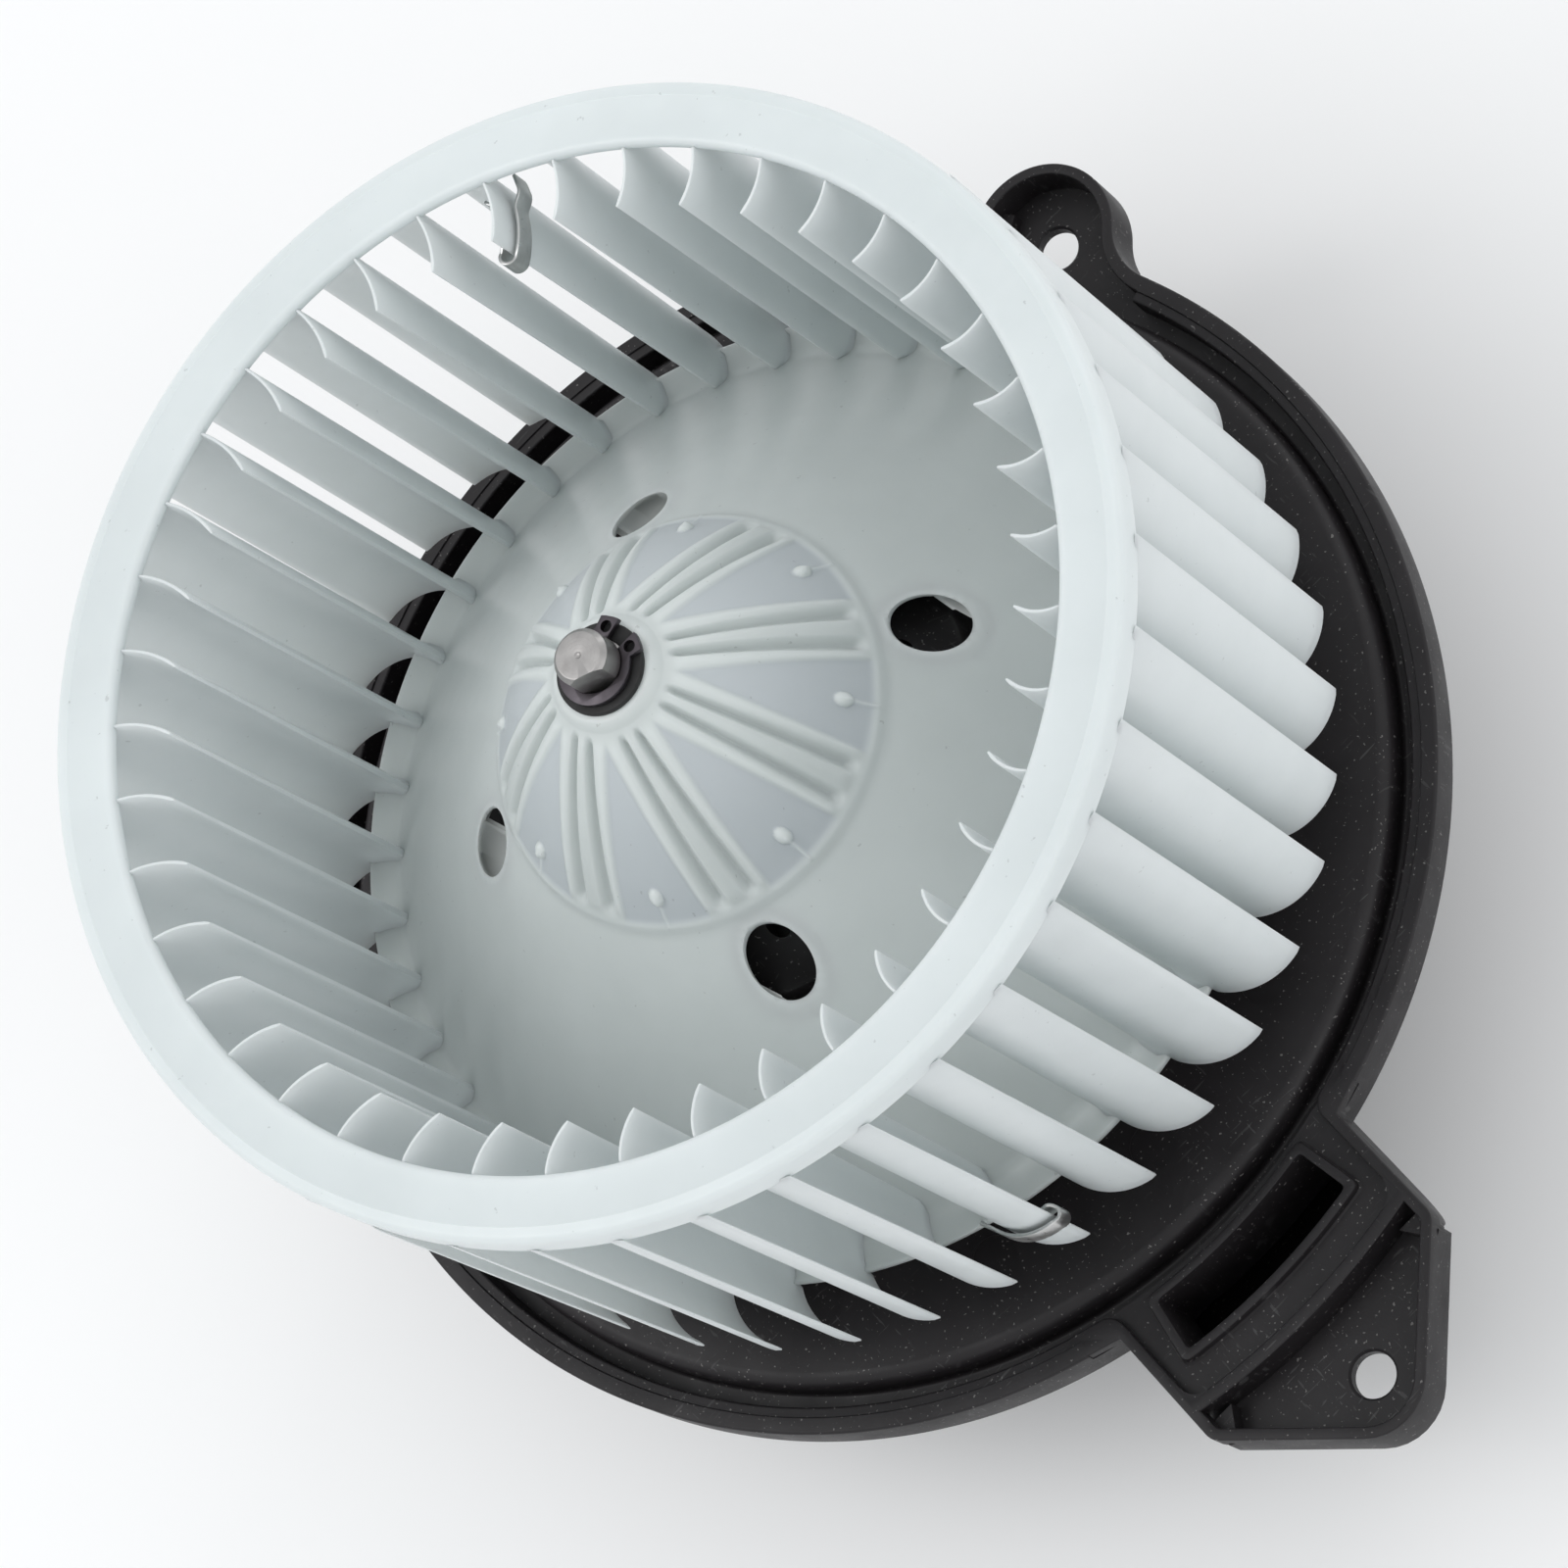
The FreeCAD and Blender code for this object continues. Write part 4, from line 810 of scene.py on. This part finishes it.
def make_fittings():
    thick = 1.0
    ring = bevelled(prism(circlip_outline(), GROOVE_BOTTOM, GROOVE_BOTTOM + thick).mesh("clip"), 0.12)
    eyes = [rod(0.85, 70, 90, *polar(5.55, a), 32).mesh("eye") for a in (26, -26)]
    ring = combine(ring, eyes, "DIFFERENCE")
    top = moved(ring, turn=6.0)
    place("retaining_ring_clip", top, DARK_STEEL, "rotor", "retaining_ring", sharp=30)
    low = moved(ring, turn=186.0, shift=(0, 0, 56.5 - GROOVE_BOTTOM - thick))
    place("stop_ring_clip", low, DARK_STEEL, "rotor", "stop_ring", sharp=30)
    profile = rounded([(4.05, BOSS_TOP, 0.1), (6.5, BOSS_TOP, 0.2), (6.5, BOSS_TOP + 1.0, 0.3),
                       (4.05, BOSS_TOP + 1.0, 0.15)], pieces=4)
    place("hub_washer_disc", turned(profile, 96).mesh("washer"), RUBBER, "rotor", "hub_washer")


def ribbon(path, gauge, middles, widths):
    """Strip bent along a path seen from above; middles and widths give its height along the way."""
    shell = Shell()
    loops = []
    for i, (x, y) in enumerate(path):
        ahead = Vector(path[min(i + 1, len(path) - 1)])
        behind = Vector(path[max(i - 1, 0)])
        way = (ahead - behind).normalized()
        side = Vector((-way.y, way.x)) * gauge / 2
        low, high = middles[i] - widths[i] / 2, middles[i] + widths[i] / 2
        loops.append([(x - side.x, y - side.y, low), (x + side.x, y + side.y, low),
                      (x + side.x, y + side.y, high), (x - side.x, y - side.y, high)])
    shell.loft(loops, capped=True)
    return shell


def hairpin(bend_angle, legs, bend_height, far_height, blade_index):
    """A clip of spring strip on one blade; a leg is a row of (camber angle, distance from the blade)."""
    def at(angle, distance):
        return polar(CAMBER + distance, angle, *CAMBER_CENTRE)

    def eased(stops):
        points = []
        for (a0, d0), (a1, d1) in zip(stops, stops[1:]):
            count = max(3, int(abs(a1 - a0) / 2.0))
            for i in range(count):
                t = i / count
                points.append((a0 + (a1 - a0) * t, d0 + (d1 - d0) * t * t * (3 - 2 * t)))
        return points + [stops[-1]]

    outer_leg = eased(legs[0])
    inner_leg = eased(legs[1])
    turn = -1 if bend_angle < -60 else 1
    bend = []
    for i in range(1, 12):
        swing = radians(90 - 180 * i / 12)
        bend.append((bend_angle + turn * degrees(CLIP_GAP * cos(swing) / CAMBER), CLIP_GAP * sin(swing)))
    track = outer_leg + bend + inner_leg[::-1]
    path = [at(a, d) for a, d in track]
    far = max(abs(a - bend_angle) for a, _ in track)
    middles = [bend_height + (far_height - bend_height) * abs(a - bend_angle) / far for a, _ in track]
    widths = []
    for i in range(len(track)):
        end = min(i, len(track) - 1 - i)
        widths.append(CLIP_WIDTH - (0.5 if end == 0 else 0.15 if end == 1 else 0.0))
    clip = bevelled(ribbon(path, CLIP_GAUGE, middles, widths).mesh("clip"), 0.12)
    return moved(clip, turn=BLADE_PHASE + blade_index * 360.0 / BLADE_COUNT)


def make_clips():
    gap = CLIP_GAP
    head = hairpin(-124.0, ([(-71.0, 2.9), (-80.0, 2.7), (-91.0, gap), (-124.0, gap)],
                            [(-74.0, -2.6), (-88.0, -gap), (-124.0, -gap)]), 77.2, 79.7, 7)
    foot = hairpin(-3.0, ([(-73.0, 1.9), (-58.0, gap), (-3.0, gap)],
                          [(-73.0, -1.9), (-58.0, -gap), (-3.0, -gap)]), 25.0, 18.4, 29)
    place("balance_hairpins", merged("clips", [head, foot]), SPRING, "rotor", "balance_clips", sharp=30)


# ---- Flange housing

RIM = 89.98
LAND_IN = 86.0
EAR_DEPTH = 8.0
SIDE_EAR_ANGLES = (29.15, 150.85)
LONG_EAR_ANGLE = -90.0
EAR_REACH = 91.5
LUG = 11.28
EAR_WALL = 1.7
FLOOR_TOP = -6.0
SCREW_HOLE = 3.25
LONG_EAR_HOLE = (0.0, -115.4)
NOSE_START = -108.4
DIVIDER = (103.4, 105.4)
PLATE_BOTTOM = -3.5
DECK = -1.5
CUP_RADIUS = 36.0
CUP_WALL = 2.5
CUP_TOP = 51.0
CUP_SHOULDER = 35.7
CUP_MOUTH = 7.0
COLLAR_BOTTOM = -14.0
DISH_TOP = 0.5
DISH_EDGE = 83.3
CHANNEL_FLOOR = -5.0
RIM_BOTTOM = -7.0


def strip(outer, inner, tops, bottoms, crown=0.35):
    """A wall between two matching paths, with its upper edges rounded."""
    shell = Shell()
    loops = []
    for (ox, oy), (ix, iy), top, bottom in zip(outer, inner, tops, bottoms):
        a, b = Vector((ox, oy)), Vector((ix, iy))
        way = (b - a).normalized()
        crest = []
        for angle in (0, 30, 60, 90):
            crest.append((crown * (1 - cos(radians(angle))), top - crown + crown * sin(radians(angle))))
        section = [(a, bottom)] + [(a + way * shift, z) for shift, z in crest]
        section += [(b - way * shift, z) for shift, z in reversed(crest)] + [(b, bottom)]
        loops.append([(p.x, p.y, z) for p, z in section])
    shell.loft(loops, capped=True)
    return shell


def plate_with_hole(outline, centre, radius, bottom, top, count=180):
    """A flat plate of a star-shaped outline with one round hole, its rim slightly eased."""
    edge = cast(outline, centre, count)
    ease = 0.35
    bore = circle(radius, count, *centre)
    wide = circle(radius + ease, count, *centre)
    shell = Shell()
    shell.loft([lift(bore, bottom), lift(bore, top - ease), lift(wide, top), lift(edge, top),
                lift(edge, bottom)], ring=True)
    return shell


def side_ear(angle):
    """A round screw ear that flows into the rim, open towards the channel."""
    blend = 10.0
    phi = degrees(np.arccos(((RIM + blend) ** 2 + EAR_REACH ** 2 - (LUG + blend) ** 2)
                            / (2 * (RIM + blend) * EAR_REACH)))
    fx, fy = (RIM + blend) * cos(radians(phi)), (RIM + blend) * sin(radians(phi))
    lug_turn = degrees(atan2(fy, fx - EAR_REACH))

    def path(inset_rim, inset_lug):
        """The ear's edge from the rim, round the lug and back, moved inwards."""
        edge = arc(0, 0, RIM - inset_rim, -phi - 0.6, -phi, 0.6)[:-1]
        fillet = arc(fx, -fy, blend, 180 - phi, 180 - lug_turn, 4)
        for (x, y), share in zip(fillet, np.linspace(0, 1, len(fillet))):
            way = Vector((x - fx, y + fy)).normalized() * (inset_rim + (inset_lug - inset_rim) * share)
            edge.append((x + way.x, y + way.y))
        nose = arc(EAR_REACH, 0, LUG - inset_lug, -lug_turn, lug_turn, 4)[1:-1]
        return edge + nose + [(x, -y) for x, y in reversed(edge)]
    outer = path(0.0, 0.0)
    inner = path(2.4, EAR_WALL)
    bottoms = [-EAR_DEPTH if hypot(x, y) > RIM + 1.5 else RIM_BOTTOM for x, y in outer]
    wall = strip(outer, inner, [0.0] * len(outer), bottoms)
    middle = path(1.2, EAR_WALL / 2)
    back = arc(0, 0, 84.6, phi, -phi, 3)
    floor = plate_with_hole(middle + back, (EAR_REACH, 0), SCREW_HOLE, -EAR_DEPTH, FLOOR_TOP)
    slot = box((EAR_REACH + 0.2, -9.1, -20), (EAR_REACH + 3.6, -8.0, 5))
    ledge = box((EAR_REACH - 2.0, 7.2, -6.2), (EAR_REACH + 3.2, 9.9, -3.4))
    shape = combine(wall.mesh("ear"), [floor.mesh("floor"), ledge.mesh("ledge")])
    shape = combine(shape, [slot.mesh("slot")], "DIFFERENCE")
    return moved(shape, turn=angle)


def ear_corners(inset):
    """The long ear's outline as corners (x, y, radius) pointing along -Y, offset inwards."""
    half = 21.7 - inset
    side_end = 107.6 - inset * tan(radians(22.5))
    apex = 129.27 - inset * sqrt(2)
    root = 87.4 - inset * 2.0
    root_round, side_round = 0.4 + inset * 1.5, 3.0 - inset * 0.9
    return [(half + 6.5, -root + 2.1, 0), (half, -root, root_round), (half, -side_end, side_round),
            (0, -apex, 8.5 - inset), (-half, -side_end, side_round), (-half, -root, root_round),
            (-half - 6.5, -root + 2.1, 0)]


def sector_outline(inner, outer, half, corner):
    """A rounded patch between two arcs about the shaft axis, centred on -Y."""
    points = []
    margin_out, margin_in = degrees(2.2 / outer), degrees(2.2 / inner)
    points.append((*polar(inner, -90 - half), corner))
    points += [(x, y, 0) for x, y in arc(0, 0, inner, -90 - half + margin_in, -90 + half - margin_in, 1.5)]
    points.append((*polar(inner, -90 + half), corner))
    points.append((*polar(outer, -90 + half), corner))
    points += [(x, y, 0) for x, y in arc(0, 0, outer, -90 + half - margin_out, -90 - half + margin_out, 1.5)]
    points.append((*polar(outer, -90 - half), corner))
    return rounded(points, pieces=5)


def port_deck():
    """The deck round the cooling port, the port's raised lip and the neck below it."""
    centre = (0.0, -93.4)
    count = 300

    def ring(grow, corner):
        """The port's outline moved outwards."""
        half = 9.2 + degrees(grow / 93.0)
        return cast(sector_outline(88.6 - grow, 97.0 + grow, half, corner), centre, count)
    deck = arc(0, 0, 86.0, -90 - 14.0, -90 + 14.0, 2) + arc(0, 0, 104.2, -90 + 11.5, -90 - 11.5, 2)
    edge = cast(deck, centre, count)
    shell = Shell()
    shell.loft([
        lift(ring(0, 0.6), -13.0), lift(ring(0, 0.6), -0.3), lift(ring(0.1, 0.65), -0.08),
        lift(ring(0.3, 0.7), 0.0), lift(ring(1.15, 1.3), 0.0), lift(ring(1.35, 1.5), -0.08),
        lift(ring(1.45, 1.6), -0.3), lift(ring(1.5, 1.6), DECK + 0.3), lift(ring(1.8, 1.9), DECK),
        lift(edge, DECK), lift(edge, PLATE_BOTTOM), lift(ring(1.6, 1.7), PLATE_BOTTOM),
        lift(ring(1.6, 1.7), -13.0)], ring=True)
    return shell


def long_ear():
    outer = rounded(ear_corners(0.0), closed=False, pieces=8)
    inner = rounded(ear_corners(EAR_WALL), closed=False, pieces=8)

    def refined(path, other):
        """Adds points where the wall's depth steps."""
        points, mates, depths = [], [], []
        for i, (p, q) in enumerate(zip(path, other)):
            deep = p[1] < NOSE_START
            if i and (path[i - 1][1] < NOSE_START) != deep:
                share = (NOSE_START - path[i - 1][1]) / (p[1] - path[i - 1][1])
                for k, low in ((share - 0.004, not deep), (share + 0.004, deep)):
                    a = Vector(path[i - 1]).lerp(Vector(p), k)
                    b = Vector(other[i - 1]).lerp(Vector(q), k)
                    points.append(tuple(a))
                    mates.append(tuple(b))
                    depths.append(-EAR_DEPTH if low else PLATE_BOTTOM)
            points.append(p)
            mates.append(q)
            depths.append(-EAR_DEPTH if deep else PLATE_BOTTOM)
        return points, mates, depths
    outer, inner, bottoms = refined(outer, inner)
    wall = strip(outer, inner, [-0.01] * len(outer), bottoms).mesh("wall")
    section = rounded([(DIVIDER[0], -7.2, 0), (DIVIDER[1], -7.2, 0), (DIVIDER[1], 0.0, 0.35),
                       (DIVIDER[0], 0.0, 0.35)], pieces=3)
    divider = turned(section, 40, -90 - 11.4, 22.8).mesh("divider")
    middle = rounded(ear_corners(EAR_WALL / 2), closed=False, pieces=8)[1:-1]
    middle = [p for p in middle if hypot(*p) > 104.4]
    back = arc(0, 0, 104.4, -90 - 11.3, -90 + 11.3, 2)
    nose = plate_with_hole(back + middle, LONG_EAR_HOLE, SCREW_HOLE, -EAR_DEPTH, FLOOR_TOP).mesh("nose")
    pieces = [divider, nose, port_deck().mesh("deck")]
    for side in (-1, 1):
        gusset = prism([(side * 16.6, -104.9), (side * 20.6, -104.9), (side * 20.6, -109.0),
                        (side * 19.6, -109.6)][::side], -6.3, -2.6)
        pieces.append(gusset.mesh("gusset"))
        corner = [(side * x, y) for x, y in arc(17.0, -99.0, 3.0, 0, -82, 8)]
        corner += [(side * 17.4, -102.9), (side * 20.4, -102.9), (side * 20.4, -99.0)]
        pieces.append(prism(corner[::side], -3.2, -0.02).mesh("corner"))
    shape = combine(wall, pieces)
    slots = []
    for side in (-1, 1):
        slot = box((-2.2, -0.9, -7.3), (2.2, 0.9, -3.8)).mesh("slot")
        slots.append(moved(slot, turn=side * 45, shift=(side * 9.6, -117.4, 0)))
    return combine(shape, slots, "DIFFERENCE")


def dish_outline():
    """Section of the motor cup, the dish round it and the channel inside the rim."""
    bore = CUP_RADIUS - CUP_WALL
    below = DISH_TOP - CUP_WALL
    return rounded([
        (CUP_MOUTH, CUP_TOP - CUP_WALL, 0.3), (19.2, CUP_TOP - CUP_WALL, 2.0), (bore, 34.7, 1.5),
        (bore, COLLAR_BOTTOM, 0.3), (CUP_RADIUS, COLLAR_BOTTOM, 0.4), (CUP_RADIUS, below, 1.5),
        (DISH_EDGE - CUP_WALL, below, 0.8), (DISH_EDGE - CUP_WALL, RIM_BOTTOM, 0.5), (86.6, RIM_BOTTOM, 0.0),
        (86.6, CHANNEL_FLOOR, 0.0), (DISH_EDGE, CHANNEL_FLOOR, 0.7), (DISH_EDGE, DISH_TOP, 2.2),
        (CUP_RADIUS, DISH_TOP, 3.0), (CUP_RADIUS, CUP_SHOULDER, 1.6), (20.0, CUP_TOP, 2.5),
        (CUP_MOUTH, CUP_TOP, 0.5)], pieces=8)


def make_flange():
    body = turned(dish_outline(), 480).mesh("dish")
    rim = rounded([(LAND_IN, RIM_BOTTOM, 0), (RIM, RIM_BOTTOM, 0.9), (RIM, 0.0, 0.45), (87.6, 0.0, 0.1),
                   (87.5, -0.35, 0.1), (LAND_IN, -0.4, 0.4)], pieces=5)
    low_rim = rounded([(LAND_IN, RIM_BOTTOM, 0), (RIM, RIM_BOTTOM, 0.9), (RIM, -1.8, 0), (LAND_IN, -1.8, 0)],
                      pieces=5)
    gaps = [(SIDE_EAR_ANGLES[0], 11.9), (SIDE_EAR_ANGLES[1], 11.9), (LONG_EAR_ANGLE + 360, 17.2)]
    parts = []
    for (a, half_a), (b, half_b) in zip(gaps, gaps[1:] + [(gaps[0][0] + 360, gaps[0][1])]):
        start, end = a + half_a, b - half_b
        parts.append(turned(rim, max(40, int((end - start) * 1.4)), start, end - start).mesh("rim"))
    for side in (-1, 1):
        parts.append(turned(low_rim, 16, LONG_EAR_ANGLE + side * 15.4 - 2.4, 4.8).mesh("low_rim"))
    parts += [side_ear(a) for a in SIDE_EAR_ANGLES]
    parts.append(long_ear())
    body = combine(body, parts)
    boss = rod(5.0, COLLAR_BOTTOM, -1.5, 40.4).mesh("boss")
    bosses = [moved(boss, turn=a) for a in (0.0, 125.0, 235.0)]
    for side in (-1, 1):
        bosses.append(rod(3.8, -16.9, -1.5, side * 23.2, -72.0).mesh("boss"))
    body = combine(body, bosses)
    vents = [moved(rod(1.7, 30, 60, 29.0, 0.0, 32).mesh("vent"), turn=22.5 + 45 * k) for k in range(8)]
    inside = rod(CUP_RADIUS - CUP_WALL, -20, 0, count=128).mesh("inside")
    body = combine(body, vents + [inside], "DIFFERENCE")
    mark = rod(3.4, 0.38, 2.0, 71.0, 0.0, 48).mesh("mark")
    marks = [moved(mark, turn=-112.5 + 22.5 * k) for k in range(16)]
    body = combine(body, [merged("marks", marks)], "DIFFERENCE")
    place("flange_moulding", body, BLACK, "housing", "flange_housing", sharp=28)


# ---- CAD nodes that keep their own shape

def dress_nodes():
    finishes = (
        (ZINC, "duct_screws cover_screws motor_can end_plate brush_card_screws"),
        (SPRING, "magnet_springs front_bearing_retainer rear_bearing_retainer"),
        (RUBBER, "upper_damper lower_damper oil_slinger"), (FERRITE, "magnets choke_cores"),
        (BRONZE, "front_bearing rear_bearing"), (GRAPHITE, "brush_a brush_b"),
        (ENAMEL, "choke_coils armature_winding"), (PHENOLIC, "brush_card commutator_hub"),
        (LAMINATION, "armature_core"), (COPPER, "commutator_bars"), (FIBRE, "thrust_washers"),
        (BRASS, "brush_holders"), (RESIN, "capacitor"), (TIN, "terminals"),
    )
    for material, names in finishes:
        for name in names.split():
            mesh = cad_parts[name].data
            mesh.materials.clear()
            mesh.materials.append(material)


def softened(node, material, width):
    """A copy of a CAD node with its edges rounded off, shown in its place."""
    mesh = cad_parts[node].data.copy()
    work = bmesh.new()
    work.from_mesh(mesh)
    bmesh.ops.remove_doubles(work, verts=work.verts, dist=0.002 * MM)
    bmesh.ops.dissolve_limit(work, angle_limit=radians(1.0), verts=work.verts, edges=work.edges)
    work.to_mesh(mesh)
    work.free()
    mesh.transform(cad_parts[node].matrix_world)
    mesh = bevelled(mesh, width, limit=40.0)
    place(node + "_rounded", mesh, material, "housing", node, sharp=30)


def make_mouldings():
    for node, width in (("rear_cover", 0.4), ("cooling_duct", 0.35), ("connector_shell", 0.25)):
        softened(node, COVER, width)


def make_brush_springs():
    """The brush springs between the holders' ends and the brushes, shown as copies of their CAD nodes."""
    for letter, way in (("a", 1.0), ("b", -1.0)):
        node = "brush_spring_" + letter
        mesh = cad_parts[node].data.copy()
        mesh.transform(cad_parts[node].matrix_world)
        spring = place(node + "_coil", mesh, SPRING, "housing", node)
        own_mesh(spring)


# ---- Floor, light and camera

def make_stage():
    half = 6.0
    level = cad_low.z - 0.0004
    corners = [(x * half, y * half, level) for x, y in ((-1, -1), (1, -1), (1, 1), (-1, 1))]
    mesh = bpy.data.meshes.new("floor")
    mesh.from_pydata(corners, [], [(0, 1, 2, 3)])
    floor = bpy.data.objects.new("floor", mesh)
    SCENE.collection.objects.link(floor)
    paint = Paint("floor_paper", Roughness=0.9)
    paint.colour(paint.ramp(paint.noise(6, 3, 0.5), (0.3, 0.90), (0.7, 0.92)))
    mesh.materials.append(paint.material)

    world = bpy.data.worlds.new("studio")
    SCENE.world = world
    world.use_nodes = True
    sky = world.node_tree.nodes["Background"]
    sky.inputs["Color"].default_value = (0.97, 0.985, 1.0, 1)
    sky.inputs["Strength"].default_value = 0.87

    def panel(name, where, aim, width, height, power):
        light = bpy.data.lights.new(name, "AREA")
        light.shape = "RECTANGLE"
        light.size = width
        light.size_y = height
        light.energy = power
        lamp = bpy.data.objects.new(name, light)
        SCENE.collection.objects.link(lamp)
        lamp.location = where
        lamp.rotation_euler = (Vector(aim) - Vector(where)).to_track_quat("-Z", "Y").to_euler()
    panel("key", (-0.55, 0.25, 1.05), (0, 0, 0.03), 0.7, 0.7, 3.4)
    panel("side", (0.95, 0.35, 0.55), (0, 0, 0.03), 0.5, 0.8, 1.2)
    panel("front", (0.5, -1.0, 0.45), (0, 0, 0.0), 0.9, 0.5, 1.8)


def make_camera():
    lens = bpy.data.cameras.new("camera")
    lens.lens = 128.03
    lens.sensor_width = 36.0
    camera = bpy.data.objects.new("camera", lens)
    SCENE.collection.objects.link(camera)
    right = Vector((0.67792, -0.58516, -0.44499))
    up = Vector((0.72406, 0.63618, 0.26649))
    back = Vector((0.12716, -0.50286, 0.85497))
    turn = Matrix((right, up, back)).transposed().to_4x4()
    camera.matrix_world = Matrix.Translation((0.10014, -0.39836, 0.69843)) @ turn
    SCENE.camera = camera
    SCENE.view_settings.view_transform = "Standard"


dress_nodes()
make_hub()
make_blades()
make_ring()
make_shaft()
make_fittings()
make_clips()
make_flange()
make_mouldings()
make_brush_springs()
make_stage()
make_camera()
